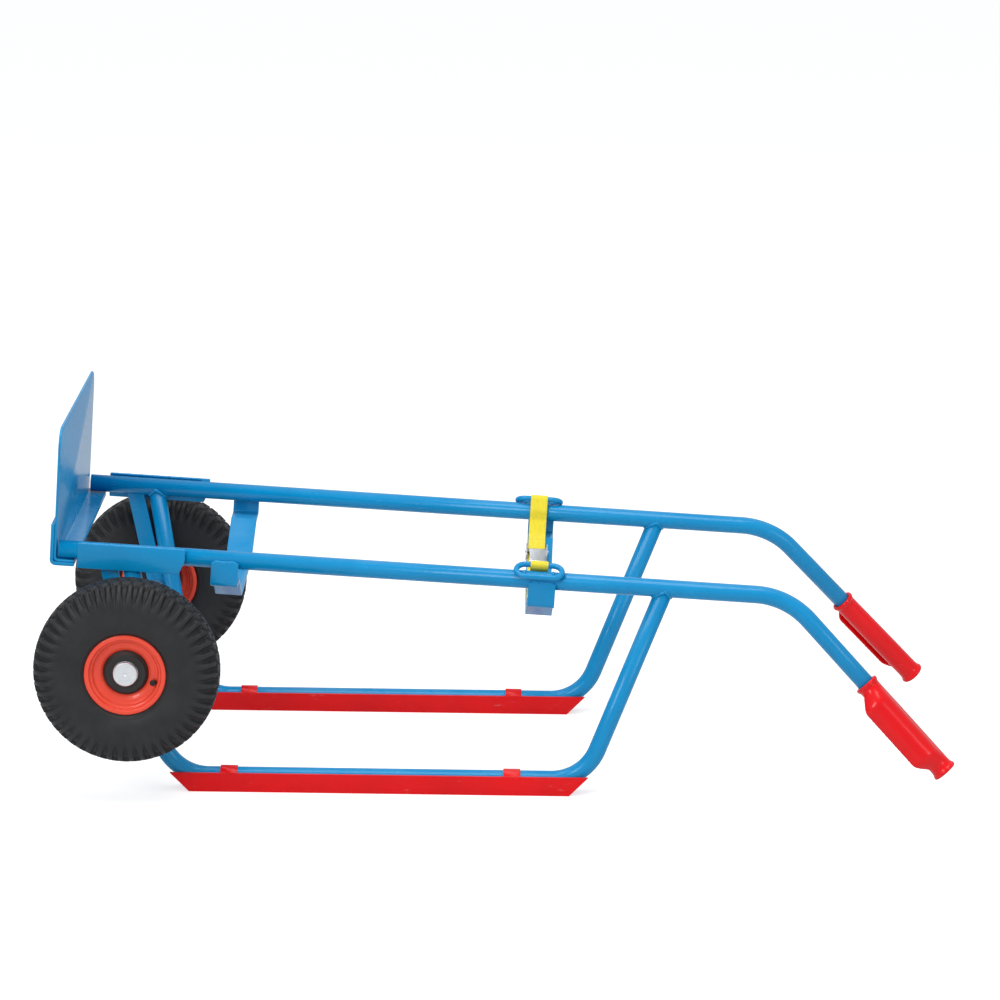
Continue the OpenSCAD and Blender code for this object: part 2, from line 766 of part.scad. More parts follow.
module buckle_spring() {
    inside = buckle_w / 2 - cheek_t - 0.3;
    color("dimgray") at_buckle() translate([-inside + 0.2, 0, cam_z]) rotate([0, 90, 0])
        difference() {
            cylinder(h = spring_w - 0.5, r = pin_r + 1.5);
            translate([0, 0, -1]) cylinder(h = spring_w + 2, r = pin_r + 0.3);
        }
}

rail(LEFT);  // rail_left
rail(RIGHT);  // rail_right
skid_tube(LEFT);  // skid_tube_left
skid_tube(RIGHT);  // skid_tube_right
heel_angle();
toe_plate();
rail_plate(LEFT);  // rail_plate_left
rail_plate(RIGHT);  // rail_plate_right
cradle_bar(front_bar_x);  // cradle_bar_front
cradle_bar(rear_bar_x);  // cradle_bar_rear
strap_eye(LEFT);  // strap_eye_left
strap_eye(RIGHT);  // strap_eye_right
axle();
axle_stay(LEFT);  // axle_stay_left
axle_stay(RIGHT);  // axle_stay_right
axle_washers();
axle_cap(LEFT);  // axle_cap_left
axle_cap(RIGHT);  // axle_cap_right
skid_shoe(LEFT);  // skid_shoe_left
skid_shoe(RIGHT);  // skid_shoe_right
grip(LEFT);  // grip_left
grip(RIGHT);  // grip_right
tyre(LEFT);  // tyre_left
tyre(RIGHT);  // tyre_right
inner_tube(LEFT);  // inner_tube_left
inner_tube(RIGHT);  // inner_tube_right
rim_outer(LEFT);  // rim_outer_left
rim_outer(RIGHT);  // rim_outer_right
rim_inner(LEFT);  // rim_inner_left
rim_inner(RIGHT);  // rim_inner_right
hub(LEFT);  // hub_left
hub(RIGHT);  // hub_right
bearings(LEFT);  // bearings_left
bearings(RIGHT);  // bearings_right
valve_stem(LEFT);  // valve_stem_left
valve_stem(RIGHT);  // valve_stem_right
valve_cap(LEFT);  // valve_cap_left
valve_cap(RIGHT);  // valve_cap_right
strap_webbing();
strap_anchor();
strap_roll();
buckle_body();
buckle_cam();
buckle_pin();
buckle_spring();
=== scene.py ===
"""Drum dolly lying on its skids: finishes, tyres, grips, webbing and welds.

All lengths are in metres. X runs from the wheels to the grips and Z is up.
"Deck" places are measured from the axle along the rails, across them and square to them.
"""
import json
import math

import bmesh
import bpy
import numpy as np
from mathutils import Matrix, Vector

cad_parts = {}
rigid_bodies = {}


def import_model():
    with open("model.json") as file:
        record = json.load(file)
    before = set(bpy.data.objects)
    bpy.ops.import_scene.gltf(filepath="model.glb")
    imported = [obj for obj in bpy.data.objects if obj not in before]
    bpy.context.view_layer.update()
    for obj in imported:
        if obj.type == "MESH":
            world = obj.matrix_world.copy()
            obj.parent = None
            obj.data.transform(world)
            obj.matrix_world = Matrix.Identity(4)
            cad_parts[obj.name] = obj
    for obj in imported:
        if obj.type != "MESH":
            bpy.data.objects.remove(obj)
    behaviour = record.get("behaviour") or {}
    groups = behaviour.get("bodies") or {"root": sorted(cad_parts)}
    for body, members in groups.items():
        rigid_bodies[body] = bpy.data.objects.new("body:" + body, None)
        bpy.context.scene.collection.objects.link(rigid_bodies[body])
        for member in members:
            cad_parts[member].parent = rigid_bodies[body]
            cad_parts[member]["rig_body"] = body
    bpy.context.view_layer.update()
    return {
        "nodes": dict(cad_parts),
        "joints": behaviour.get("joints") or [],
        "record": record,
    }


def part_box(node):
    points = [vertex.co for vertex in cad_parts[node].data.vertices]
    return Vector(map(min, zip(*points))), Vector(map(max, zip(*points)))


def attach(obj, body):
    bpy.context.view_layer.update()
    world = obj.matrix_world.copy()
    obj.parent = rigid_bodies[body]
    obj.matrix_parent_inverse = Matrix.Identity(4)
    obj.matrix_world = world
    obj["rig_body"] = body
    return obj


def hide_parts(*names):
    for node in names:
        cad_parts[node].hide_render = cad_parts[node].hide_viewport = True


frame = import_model()

# ---- frame values ---------------------------------------------------------

LEFT, RIGHT = -1, 1
SIDES = {"left": LEFT, "right": RIGHT}
JOINTS = {joint["name"]: joint for joint in frame["joints"]}
AXLE = np.array(JOINTS["wheel_left_spin"]["pos_m"])
AXLE_X, AXLE_Z = AXLE[0], AXLE[2]
WHEEL_Y = -AXLE[1]
DECK_X = np.array(JOINTS["buckle_cam_turn"]["axis"], float)
DECK_Z = np.array([-DECK_X[2], 0.0, DECK_X[0]])

TUBE_R = 0.0125
RAIL_Y = 0.216
RAIL_Z = 0.340
RAIL_START = -0.0989
RAIL_LENGTH = 0.921
HANDLE_BEND = math.radians(44.2)
HANDLE_ROLL = math.radians(12.5)
HANDLE_RADIUS = 0.110
HANDLE_LENGTH = 0.331
GRIP_LENGTH = 0.168
SKID_Z = 0.0196
SKID_REACH = 0.640
LEG_LEAN = math.radians(21.2)
STAY_LEAN = math.radians(9)
SKID_RADIUS = 0.070
EYE_X = 0.572


def deck(u, y, w):
    """Deck place to world place: along the rails, across, and square to the deck."""
    origin = np.array([AXLE_X, 0.0, RAIL_Z])
    u, y, w = np.broadcast_arrays(u, y, w)
    return origin + u[..., None] * DECK_X + y[..., None] * np.array([0, 1.0, 0]) + w[..., None] * DECK_Z


def unit(v):
    v = np.asarray(v, float)
    return v / np.linalg.norm(v, axis=-1, keepdims=True)


# ---- camera, floor and lights ---------------------------------------------

def make_camera():
    """Long lens at standing height, a little to the right of the middle."""
    yaw, pitch, roll = -0.0061, math.radians(12.604), 0.0117
    ahead = np.array([math.sin(yaw) * math.cos(pitch), math.cos(yaw) * math.cos(pitch), -math.sin(pitch)])
    level = np.array([math.cos(yaw), -math.sin(yaw), 0])
    up = np.cross(level, ahead)
    right = math.cos(roll) * level + math.sin(roll) * up
    top = -math.sin(roll) * level + math.cos(roll) * up
    data = bpy.data.cameras.new("camera")
    data.lens = 153.05
    data.sensor_width = 36
    data.clip_end = 200
    camera = bpy.data.objects.new("camera", data)
    matrix = np.eye(4)
    matrix[:3, 0], matrix[:3, 1], matrix[:3, 2] = right, top, -ahead
    matrix[:3, 3] = (0.0374, -5.992, 1.7147)
    camera.matrix_world = matrix.T.tolist()
    bpy.context.scene.collection.objects.link(camera)
    bpy.context.scene.camera = camera


def area_light(name, place, target, size, power):
    data = bpy.data.lights.new(name, "AREA")
    data.shape = "RECTANGLE"
    data.size, data.size_y = size
    data.energy = power
    lamp = bpy.data.objects.new(name, data)
    away = unit(np.array(place) - np.array(target))
    side = unit(np.cross([0, 0, 1.0], away)) if abs(away[2]) < 0.99 else np.array([1.0, 0, 0])
    matrix = np.eye(4)
    matrix[:3, 0], matrix[:3, 1], matrix[:3, 2] = side, np.cross(away, side), away
    matrix[:3, 3] = place
    lamp.matrix_world = matrix.T.tolist()
    bpy.context.scene.collection.objects.link(lamp)


def make_studio():
    scene = bpy.context.scene
    scene.view_settings.view_transform = "Standard"
    world = bpy.data.worlds.new("studio")
    scene.world = world
    world.use_nodes = True
    nodes, links = world.node_tree.nodes, world.node_tree.links
    nodes.clear()
    out = nodes.new("ShaderNodeOutputWorld")
    light = nodes.new("ShaderNodeBackground")
    light.inputs["Color"].default_value = (0.93, 0.96, 1.0, 1)
    light.inputs["Strength"].default_value = 0.62
    white = nodes.new("ShaderNodeBackground")
    white.inputs["Strength"].default_value = 1.0
    paths = nodes.new("ShaderNodeLightPath")
    mix = nodes.new("ShaderNodeMixShader")
    links.new(paths.outputs["Is Camera Ray"], mix.inputs["Fac"])
    links.new(light.outputs[0], mix.inputs[1])
    links.new(white.outputs[0], mix.inputs[2])
    links.new(mix.outputs[0], out.inputs["Surface"])
    area_light("overhead", (-0.3, -0.5, 3.2), (0, 0, 0.2), (2.6, 1.6), 52)
    area_light("key", (-2.4, -3.6, 2.6), (0, 0, 0.25), (1.6, 1.6), 60)
    area_light("fill", (3.0, -2.6, 1.4), (0, 0, 0.2), (1.4, 1.4), 18)


def make_floor():
    """White sweep: lit so that the shadow shows, lifted to white where nothing shades it."""
    mesh = bpy.data.meshes.new("floor")
    reach = 60.0
    mesh.from_pydata([(-reach, -reach, 0), (reach, -reach, 0), (reach, reach, 0), (-reach, reach, 0)],
                     [], [(0, 1, 2, 3)])
    floor = bpy.data.objects.new("floor", mesh)
    bpy.context.scene.collection.objects.link(floor)
    material = bpy.data.materials.new("floor_white")
    material.use_nodes = True
    nodes, links = material.node_tree.nodes, material.node_tree.links
    nodes.clear()
    out = nodes.new("ShaderNodeOutputMaterial")
    diffuse = nodes.new("ShaderNodeBsdfDiffuse")
    diffuse.inputs["Color"].default_value = (0.62, 0.62, 0.615, 1)
    glow = nodes.new("ShaderNodeEmission")
    seen = nodes.new("ShaderNodeLightPath")
    lift = nodes.new("ShaderNodeMath")
    lift.operation = "MULTIPLY"
    lift.inputs[1].default_value = 0.20
    either = nodes.new("ShaderNodeMath")
    either.operation = "MULTIPLY_ADD"
    either.inputs[1].default_value = 0.62
    add = nodes.new("ShaderNodeAddShader")
    links.new(seen.outputs["Is Camera Ray"], either.inputs[0])
    links.new(seen.outputs["Is Glossy Ray"], lift.inputs[0])
    links.new(lift.outputs[0], either.inputs[2])
    links.new(either.outputs[0], glow.inputs["Strength"])
    links.new(diffuse.outputs[0], add.inputs[0])
    links.new(glow.outputs[0], add.inputs[1])
    links.new(add.outputs[0], out.inputs["Surface"])
    mesh.materials.append(material)


# ---- node groups and materials --------------------------------------------

class Graph:
    """Short way to add and join shader nodes in one tree."""

    def __init__(self, tree):
        self.tree = tree

    def add(self, kind, settings=None, **inputs):
        node = self.tree.nodes.new(kind)
        for key, value in (settings or {}).items():
            setattr(node, key, value)
        for key, value in inputs.items():
            self.feed(node, key.replace("_", " ") if key.replace("_", " ") in node.inputs else key, value)
        return node

    def feed(self, node, key, value):
        socket = node.inputs[key]
        if isinstance(value, bpy.types.NodeSocket):
            self.tree.links.new(value, socket)
        else:
            socket.default_value = value

    def math(self, operation, *values, clamp=False):
        node = self.tree.nodes.new("ShaderNodeMath")
        node.operation = operation
        node.use_clamp = clamp
        for i, value in enumerate(values):
            self.feed(node, i, value)
        return node.outputs[0]

    def ramp(self, value, low, high):
        """Smooth step from 0 at low to 1 at high."""
        node = self.tree.nodes.new("ShaderNodeMapRange")
        node.interpolation_type = "SMOOTHSTEP"
        self.feed(node, "Value", value)
        node.inputs["From Min"].default_value = low
        node.inputs["From Max"].default_value = high
        return node.outputs[0]

    def mix(self, factor, first, second):
        node = self.tree.nodes.new("ShaderNodeMix")
        node.data_type = "RGBA"
        self.feed(node, 0, factor)
        self.feed(node, 6, first)
        self.feed(node, 7, second)
        return node.outputs[2]


def new_group(name, inputs, outputs):
    """Node group with float inputs (name: default) and outputs (name: socket type)."""
    tree = bpy.data.node_groups.new(name, "ShaderNodeTree")
    for key, value in inputs.items():
        socket = tree.interface.new_socket(key, in_out="INPUT", socket_type="NodeSocketFloat")
        socket.default_value = value
    for key, kind in outputs.items():
        tree.interface.new_socket(key, in_out="OUTPUT", socket_type=kind)
    graph = Graph(tree)
    return graph, tree.nodes.new("NodeGroupInput").outputs, tree.nodes.new("NodeGroupOutput").inputs


def make_coat_group():
    """Sprayed or moulded skin: soft waves, fine grain, faint clouds of tone and sparse scuffs."""
    graph, given, out = new_group(
        "coat_skin", {"Wave Size": 450.0, "Grain Size": 2600.0, "Scuffs": 0.5},
        {"Height": "NodeSocketFloat", "Clouds": "NodeSocketFloat", "Scuffs": "NodeSocketFloat",
         "Dust": "NodeSocketFloat"})
    place = graph.add("ShaderNodeTexCoord").outputs["Object"]
    waves = graph.add("ShaderNodeTexNoise", Vector=place, Scale=given["Wave Size"], Detail=1.0)
    grain = graph.add("ShaderNodeTexNoise", Vector=place, Scale=given["Grain Size"], Detail=2.0)
    clouds = graph.add("ShaderNodeTexNoise", Vector=place, Scale=9.0, Detail=4.0, Roughness=0.6)
    stretched = graph.add("ShaderNodeMapping", Vector=place)
    stretched.inputs["Scale"].default_value = (60, 420, 420)
    lines = graph.add("ShaderNodeTexNoise", Vector=stretched.outputs[0], Scale=1.0, Detail=3.0)
    patches = graph.add("ShaderNodeTexNoise", Vector=place, Scale=24.0, Detail=2.0)
    scuff = graph.math("MULTIPLY", graph.ramp(lines.outputs["Fac"], 0.62, 0.72),
                       graph.ramp(patches.outputs["Fac"], 0.52, 0.66))
    graph.tree.links.new(graph.math("MULTIPLY", scuff, given["Scuffs"]), out["Scuffs"])
    height = graph.math("ADD", graph.math("MULTIPLY", waves.outputs["Fac"], 0.8),
                        graph.math("MULTIPLY", grain.outputs["Fac"], 0.2))
    graph.tree.links.new(height, out["Height"])
    graph.tree.links.new(clouds.outputs["Fac"], out["Clouds"])
    up = graph.add("ShaderNodeSeparateXYZ", Vector=graph.add("ShaderNodeNewGeometry").outputs["Normal"])
    settled = graph.math("MULTIPLY", graph.ramp(up.outputs["Z"], 0.55, 0.98),
                         graph.ramp(clouds.outputs["Fac"], 0.40, 0.72))
    graph.tree.links.new(settled, out["Dust"])
    return graph.tree


def make_metal_group():
    """Plated or ground metal: fine drawn lines on one axis, plus soft blotches of tone."""
    graph, given, out = new_group(
        "plate_skin", {"Along": 40.0, "Across": 2200.0},
        {"Height": "NodeSocketFloat", "Tone": "NodeSocketFloat"})
    place = graph.add("ShaderNodeTexCoord").outputs["Object"]
    scale = graph.add("ShaderNodeCombineXYZ", X=given["Along"], Y=given["Across"], Z=given["Across"])
    drawn = graph.add("ShaderNodeVectorMath", {"operation": "MULTIPLY"})
    graph.feed(drawn, 0, place)
    graph.feed(drawn, 1, scale.outputs[0])
    lines = graph.add("ShaderNodeTexNoise", Vector=drawn.outputs[0], Scale=1.0, Detail=4.0)
    blotches = graph.add("ShaderNodeTexVoronoi", Vector=place, Scale=320.0)
    graph.tree.links.new(lines.outputs["Fac"], out["Height"])
    tone = graph.math("ADD", graph.math("MULTIPLY", lines.outputs["Fac"], 0.6),
                      graph.math("MULTIPLY", blotches.outputs["Distance"], 0.5))
    graph.tree.links.new(tone, out["Tone"])
    return graph.tree


def new_material(name):
    material = bpy.data.materials.new(name)
    material.use_nodes = True
    material.node_tree.nodes.clear()
    graph = Graph(material.node_tree)
    shader = graph.add("ShaderNodeBsdfPrincipled")
    out = graph.add("ShaderNodeOutputMaterial")
    material.node_tree.links.new(shader.outputs[0], out.inputs["Surface"])
    return material, graph, shader


def bump(graph, shader, height, depth, strength=1.0):
    """Bump of the given depth in metres for a height that runs from 0 to 1."""
    node = graph.add("ShaderNodeBump", Height=height, Strength=strength, Distance=depth)
    graph.feed(shader, "Normal", node.outputs[0])


def coated(name, colour, deep, rough, group, wave=450.0, depth=0.00012, coat=0.5, scuffs=0.5,
           dust=0.25, coat_rough=0.08, grain=2600.0):
    """Painted or moulded finish: tone clouds between two colours, skin bump, scuffs and dust."""
    material, graph, shader = new_material(name)
    skin = graph.add("ShaderNodeGroup", {"node_tree": group})
    skin.inputs["Wave Size"].default_value = wave
    skin.inputs["Grain Size"].default_value = grain
    skin.inputs["Scuffs"].default_value = scuffs
    tone = graph.mix(graph.ramp(skin.outputs["Clouds"], 0.3, 0.72), (*deep, 1), (*colour, 1))
    pale = tuple(0.55 * c + 0.45 * 0.62 for c in colour)
    tone = graph.mix(graph.math("MULTIPLY", skin.outputs["Scuffs"], 0.35), tone, (*pale, 1))
    tone = graph.mix(graph.math("MULTIPLY", skin.outputs["Dust"], dust), tone, (0.42, 0.40, 0.37, 1))
    graph.feed(shader, "Base Color", tone)
    worn = graph.math("ADD", graph.math("MULTIPLY", skin.outputs["Clouds"], 0.12), rough - 0.06)
    worn = graph.math("ADD", worn, graph.math("MULTIPLY", skin.outputs["Scuffs"], 0.25))
    worn = graph.math("ADD", worn, graph.math("MULTIPLY", skin.outputs["Dust"], dust), clamp=True)
    graph.feed(shader, "Roughness", worn)
    shader.inputs["Specular IOR Level"].default_value = 0.22
    shader.inputs["Coat Weight"].default_value = coat
    shader.inputs["Coat Roughness"].default_value = coat_rough
    bump(graph, shader, skin.outputs["Height"], depth)
    return material


def plated(name, colour, dark, rough, group, along=40.0, across=2200.0, depth=0.00002):
    """Plated steel: metal with drawn lines and blotches between two tones."""
    material, graph, shader = new_material(name)
    skin = graph.add("ShaderNodeGroup", {"node_tree": group})
    skin.inputs["Along"].default_value = along
    skin.inputs["Across"].default_value = across
    graph.feed(shader, "Base Color", graph.mix(skin.outputs["Tone"], (*dark, 1), (*colour, 1)))
    shader.inputs["Metallic"].default_value = 1.0
    graph.feed(shader, "Roughness", graph.math("ADD", graph.math("MULTIPLY", skin.outputs["Tone"], 0.22),
                                               rough - 0.1))
    bump(graph, shader, skin.outputs["Height"], depth)
    return material


def turned_plate(group):
    """Zinc plate of the axle caps: fine rings round the axle over soft blotches."""
    material, graph, shader = new_material("zinc_cap")
    place = graph.add("ShaderNodeTexCoord").outputs["Object"]
    apart = graph.add("ShaderNodeSeparateXYZ", Vector=place)
    dx = graph.math("SUBTRACT", apart.outputs["X"], AXLE_X)
    dz = graph.math("SUBTRACT", apart.outputs["Z"], AXLE_Z)
    radius = graph.math("SQRT", graph.math("ADD", graph.math("MULTIPLY", dx, dx),
                                           graph.math("MULTIPLY", dz, dz)))
    rings = graph.add("ShaderNodeTexNoise", {"noise_dimensions": "1D"}, W=graph.math("MULTIPLY", radius, 1500.0),
                      Scale=1.0, Detail=3.0)
    skin = graph.add("ShaderNodeGroup", {"node_tree": group})
    skin.inputs["Along"].default_value = 300.0
    skin.inputs["Across"].default_value = 300.0
    blend = graph.math("ADD", graph.math("MULTIPLY", rings.outputs["Fac"], 0.5),
                       graph.math("MULTIPLY", skin.outputs["Tone"], 0.5))
    graph.feed(shader, "Base Color", graph.mix(blend, (0.52, 0.55, 0.58, 1), (0.93, 0.95, 0.97, 1)))
    shader.inputs["Metallic"].default_value = 1.0
    graph.feed(shader, "Roughness", graph.math("ADD", graph.math("MULTIPLY", blend, 0.25), 0.28))
    bump(graph, shader, rings.outputs["Fac"], 0.00005)
    return material


def rubber(name, colour, dusty, rough):
    """Tyre rubber: fine pits, dusty clouds of tone, and painted shade that darkens the cut grooves by their depth.
    """
    material, graph, shader = new_material(name)
    place = graph.add("ShaderNodeTexCoord").outputs["Object"]
    pits = graph.add("ShaderNodeTexNoise", Vector=place, Scale=1400.0, Detail=3.0)
    clouds = graph.add("ShaderNodeTexNoise", Vector=place, Scale=22.0, Detail=5.0, Roughness=0.65)
    groove = graph.add("ShaderNodeAttribute", {"attribute_name": "groove"})
    tone = graph.mix(graph.ramp(clouds.outputs["Fac"], 0.35, 0.75), (*colour, 1), (*dusty, 1))
    # painted shade: the cut grooves are darkened towards a third of the rubber's colour, by their depth
    dark = tuple(0.35 * c for c in colour)
    tone = graph.mix(graph.math("MULTIPLY", groove.outputs["Fac"], 0.75), tone, (*dark, 1))
    graph.feed(shader, "Base Color", tone)
    graph.feed(shader, "Roughness", graph.math("ADD", graph.math("MULTIPLY", clouds.outputs["Fac"], 0.25),
                                               rough - 0.12))
    shader.inputs["Specular IOR Level"].default_value = 0.28
    bump(graph, shader, pits.outputs["Fac"], 0.00012)
    return material


def woven(name, colour, shade, thread):
    """Webbing: staggered ribs across the width and yarns along it, from the piece's own UV map, with painted shade
    in the low parts between them.

    U is the length and V the width in metres. Ribs are |sin| waves whose phase shifts by half
    a rib from one yarn to the next.
    """
    material, graph, shader = new_material(name)
    apart = graph.add("ShaderNodeSeparateXYZ", Vector=graph.add("ShaderNodeTexCoord").outputs["UV"])
    along, across = apart.outputs["X"], apart.outputs["Y"]
    yarn = graph.math("DIVIDE", across, 0.0019)
    shift = graph.math("MULTIPLY", graph.math("PINGPONG", graph.math("FLOOR", yarn), 1.0), math.pi / 2)
    ribs = graph.math("ABSOLUTE", graph.math("SINE", graph.math(
        "ADD", graph.math("MULTIPLY", along, math.pi / 0.0021), shift)))
    cords = graph.math("ABSOLUTE", graph.math("SINE", graph.math("MULTIPLY", yarn, math.pi)))
    height = graph.math("MULTIPLY", graph.math("POWER", ribs, 0.6), graph.math("POWER", cords, 0.45))
    fibres = graph.add("ShaderNodeMapping", Vector=graph.add("ShaderNodeTexCoord").outputs["UV"])
    fibres.inputs["Scale"].default_value = (900, 9000, 1)
    fuzz = graph.add("ShaderNodeTexNoise", Vector=fibres.outputs[0], Scale=1.0, Detail=3.0)
    place = graph.add("ShaderNodeTexCoord").outputs["Object"]
    soil = graph.add("ShaderNodeTexNoise", Vector=place, Scale=45.0, Detail=4.0)
    # painted shade: the low parts between ribs and yarns take the darker shade colour, the crests the full colour
    tone = graph.mix(height, (*shade, 1), (*colour, 1))
    tone = graph.mix(graph.math("MULTIPLY", fuzz.outputs["Fac"], 0.22), tone, (*thread, 1))
    tone = graph.mix(graph.math("MULTIPLY", graph.ramp(soil.outputs["Fac"], 0.55, 0.8), 0.18), tone,
                     (0.45, 0.33, 0.04, 1))
    graph.feed(shader, "Base Color", tone)
    graph.feed(shader, "Roughness", graph.math("ADD", graph.math("MULTIPLY", fuzz.outputs["Fac"], 0.2), 0.5))
    shader.inputs["Sheen Weight"].default_value = 0.25
    shader.inputs["Sheen Roughness"].default_value = 0.4
    whole = graph.math("ADD", height, graph.math("MULTIPLY", fuzz.outputs["Fac"], 0.15))
    bump(graph, shader, whole, 0.00055)
    return material


def make_materials():
    coat = make_coat_group()
    metal = make_metal_group()
    return {
        "frame_paint": coated("frame_paint", (0.002, 0.285, 0.600), (0.002, 0.250, 0.540), 0.26, coat,
                              wave=420.0, depth=0.00022, coat=0.20, scuffs=0.35, dust=0.10),
        "shoe_plastic": coated("shoe_plastic", (0.86, 0.001, 0.004), (0.74, 0.001, 0.004), 0.30, coat,
                               wave=130.0, depth=0.00025, coat=0.12, scuffs=0.8, dust=0.12),
        "grip_plastic": coated("grip_plastic", (0.86, 0.002, 0.006), (0.76, 0.002, 0.005), 0.24, coat,
                               wave=110.0, depth=0.00030, coat=0.22, scuffs=0.35, dust=0.04),
        "rim_paint": coated("rim_paint", (0.92, 0.085, 0.045), (0.84, 0.068, 0.036), 0.24, coat,
                            wave=380.0, depth=0.00015, coat=0.25, scuffs=0.3, dust=0.06),
        "hub_plastic": coated("hub_plastic", (0.034, 0.033, 0.033), (0.022, 0.022, 0.022), 0.42, coat,
                              wave=900.0, depth=0.00010, coat=0.0, scuffs=0.5, dust=0.15),
        "cap_plastic": coated("cap_plastic", (0.020, 0.020, 0.020), (0.012, 0.012, 0.012), 0.36, coat,
                              wave=900.0, depth=0.00006, coat=0.0, scuffs=0.3, dust=0.1),
        "tyre_rubber": rubber("tyre_rubber", (0.018, 0.0185, 0.020), (0.028, 0.0285, 0.030), 0.50),
        "tube_rubber": rubber("tube_rubber", (0.014, 0.014, 0.014), (0.024, 0.024, 0.024), 0.45),
        "zinc_plate": plated("zinc_plate", (0.80, 0.83, 0.86), (0.48, 0.50, 0.53), 0.36, metal,
                             along=900.0, across=60.0),
        "zinc_cap": turned_plate(metal),
        "bearing_steel": plated("bearing_steel", (0.62, 0.62, 0.63), (0.42, 0.42, 0.43), 0.26, metal,
                                along=700.0, across=300.0),
        "buckle_plate": plated("buckle_plate", (0.86, 0.88, 0.90), (0.56, 0.58, 0.60), 0.32, metal,
                               along=120.0, across=3000.0),
        "spring_steel": plated("spring_steel", (0.40, 0.40, 0.41), (0.22, 0.22, 0.23), 0.30, metal,
                               along=2000.0, across=2000.0),
        "webbing": woven("webbing", (1.0, 0.84, 0.0), (0.85, 0.66, 0.0), (1.0, 0.90, 0.25)),
        "thread": woven("thread", (1.0, 0.86, 0.22), (0.75, 0.60, 0.08), (1.0, 0.95, 0.5)),
    }


# ---- surfaces --------------------------------------------------------------

def grid_faces(rows, cols, wrap_rows=False, wrap_cols=False):
    """Quads of a rows x cols grid as vertex numbers, and the unwrapped row and column of each corner."""
    r, c = np.meshgrid(np.arange(rows if wrap_rows else rows - 1),
                       np.arange(cols if wrap_cols else cols - 1), indexing="ij")
    corner_r = np.stack([r, r + 1, r + 1, r], -1).reshape(-1, 4)
    corner_c = np.stack([c, c, c + 1, c + 1], -1).reshape(-1, 4)
    return (corner_r % rows) * cols + corner_c % cols, corner_r, corner_c


def volume(verts, faces):
    """Signed volume of a closed quad mesh, positive when its faces point outwards."""
    a, b, c, d = (verts[faces[:, i]] for i in range(4))
    return np.sum(np.cross(a, b) * c + np.cross(a, c) * d) / 6


def build(name, verts, faces, caps=(), uv=None, body="frame", slot=None, material=None, replaces=(),
          smooth=True, values=None):
    """One closed piece from quads and flat caps, turned outwards, at the origin, riding on a body."""
    verts = np.asarray(verts, float).reshape(-1, 3)
    inside_out = volume(verts - verts.mean(axis=0), faces) < 0
    if inside_out:
        faces = faces[:, ::-1]
        uv = uv[:, ::-1] if uv is not None else None
        caps = [cap[::-1] for cap in caps]
    loops = np.concatenate([faces.ravel()] + [np.asarray(cap) for cap in caps]).astype(np.int32)
    totals = np.concatenate([np.full(len(faces), 4), [len(cap) for cap in caps]]).astype(np.int32)
    mesh = bpy.data.meshes.new(name)
    mesh.vertices.add(len(verts))
    mesh.vertices.foreach_set("co", verts.astype(np.float32).ravel())
    mesh.loops.add(len(loops))
    mesh.loops.foreach_set("vertex_index", loops)
    mesh.polygons.add(len(totals))
    mesh.polygons.foreach_set("loop_start", np.concatenate([[0], np.cumsum(totals)[:-1]]).astype(np.int32))
    mesh.polygons.foreach_set("loop_total", totals)
    mesh.update(calc_edges=True)
    mesh.polygons.foreach_set("use_smooth", np.full(len(totals), smooth))
    if uv is not None:
        flat = np.zeros((len(loops), 2), np.float32)
        flat[:faces.size] = uv.reshape(-1, 2)
        mesh.uv_layers.new(name="length_and_width").data.foreach_set("uv", flat.ravel())
    # per-point mask for the tyre's painted groove shade
    if values is not None:
        attribute = mesh.attributes.new("groove", "FLOAT", "POINT")
        attribute.data.foreach_set("value", np.asarray(values, np.float32).ravel())
    piece = bpy.data.objects.new(name, mesh)
    bpy.context.scene.collection.objects.link(piece)
    mesh.materials.append(MATERIALS[material or slot])
    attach(piece, body)
    if replaces:
        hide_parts(*replaces)
    return piece


def lathe(name, outline, origin, axis, steps=128, **settings):
    """Closed outline of (along, radius) points turned round an axis through the origin point.

    A point is origin + along * axis + radius * (cos a * side + sin a * up) for a from 0 to 2 pi.
    """
    outline = np.asarray(outline, float)
    axis = unit(axis)
    side = unit(np.cross(axis, [0.0, 0, 1] if abs(axis[2]) < 0.9 else [1.0, 0, 0]))
    up = np.cross(axis, side)
    angle = np.linspace(0, 2 * math.pi, steps, endpoint=False)
    ring = np.cos(angle)[:, None] * side + np.sin(angle)[:, None] * up
    verts = (np.asarray(origin) + outline[None, :, :1] * axis + outline[None, :, 1:] * ring[:, None, :])
    faces, _, _ = grid_faces(steps, len(outline), True, True)
    return build(name, verts, faces, **settings)


def softened_outline(points, radius, steps=4):
    """Closed outline with each corner replaced by a quadratic curve that leaves it by radius."""
    points = np.asarray(points, float)
    before, after = np.roll(points, 1, axis=0), np.roll(points, -1, axis=0)
    back, on = before - points, after - points
    reach_back = np.minimum(radius, 0.45 * np.linalg.norm(back, axis=1))[:, None]
    reach_on = np.minimum(radius, 0.45 * np.linalg.norm(on, axis=1))[:, None]
    start, end = points + unit(back) * reach_back, points + unit(on) * reach_on
    t = np.linspace(0, 1, steps + 1)[None, :, None]
    curve = (1 - t) ** 2 * start[:, None] + 2 * t * (1 - t) * points[:, None] + t ** 2 * end[:, None]
    return curve.reshape(-1, points.shape[1])


def rounded_path(points, radius, steps=24):
    """Open path whose inner corners are true arcs of the given radius, tangent to both sides."""
    points = [np.asarray(p, float) for p in points]
    path = [points[0]]
    for before, corner, after in zip(points, points[1:], points[2:]):
        back, on = unit(before - corner), unit(after - corner)
        half = math.acos(float(np.clip(back @ on, -1, 1))) / 2
        middle = corner + unit(back + on) * radius / math.sin(half)
        start = corner + back * radius / math.tan(half) - middle
        end = corner + on * radius / math.tan(half) - middle
        turn = math.acos(float(np.clip(unit(start) @ unit(end), -1, 1)))
        for t in np.linspace(0, 1, steps + 1):
            path.append(middle + (math.sin((1 - t) * turn) * start + math.sin(t * turn) * end) / math.sin(turn))
    return np.array(path + [points[-1]])


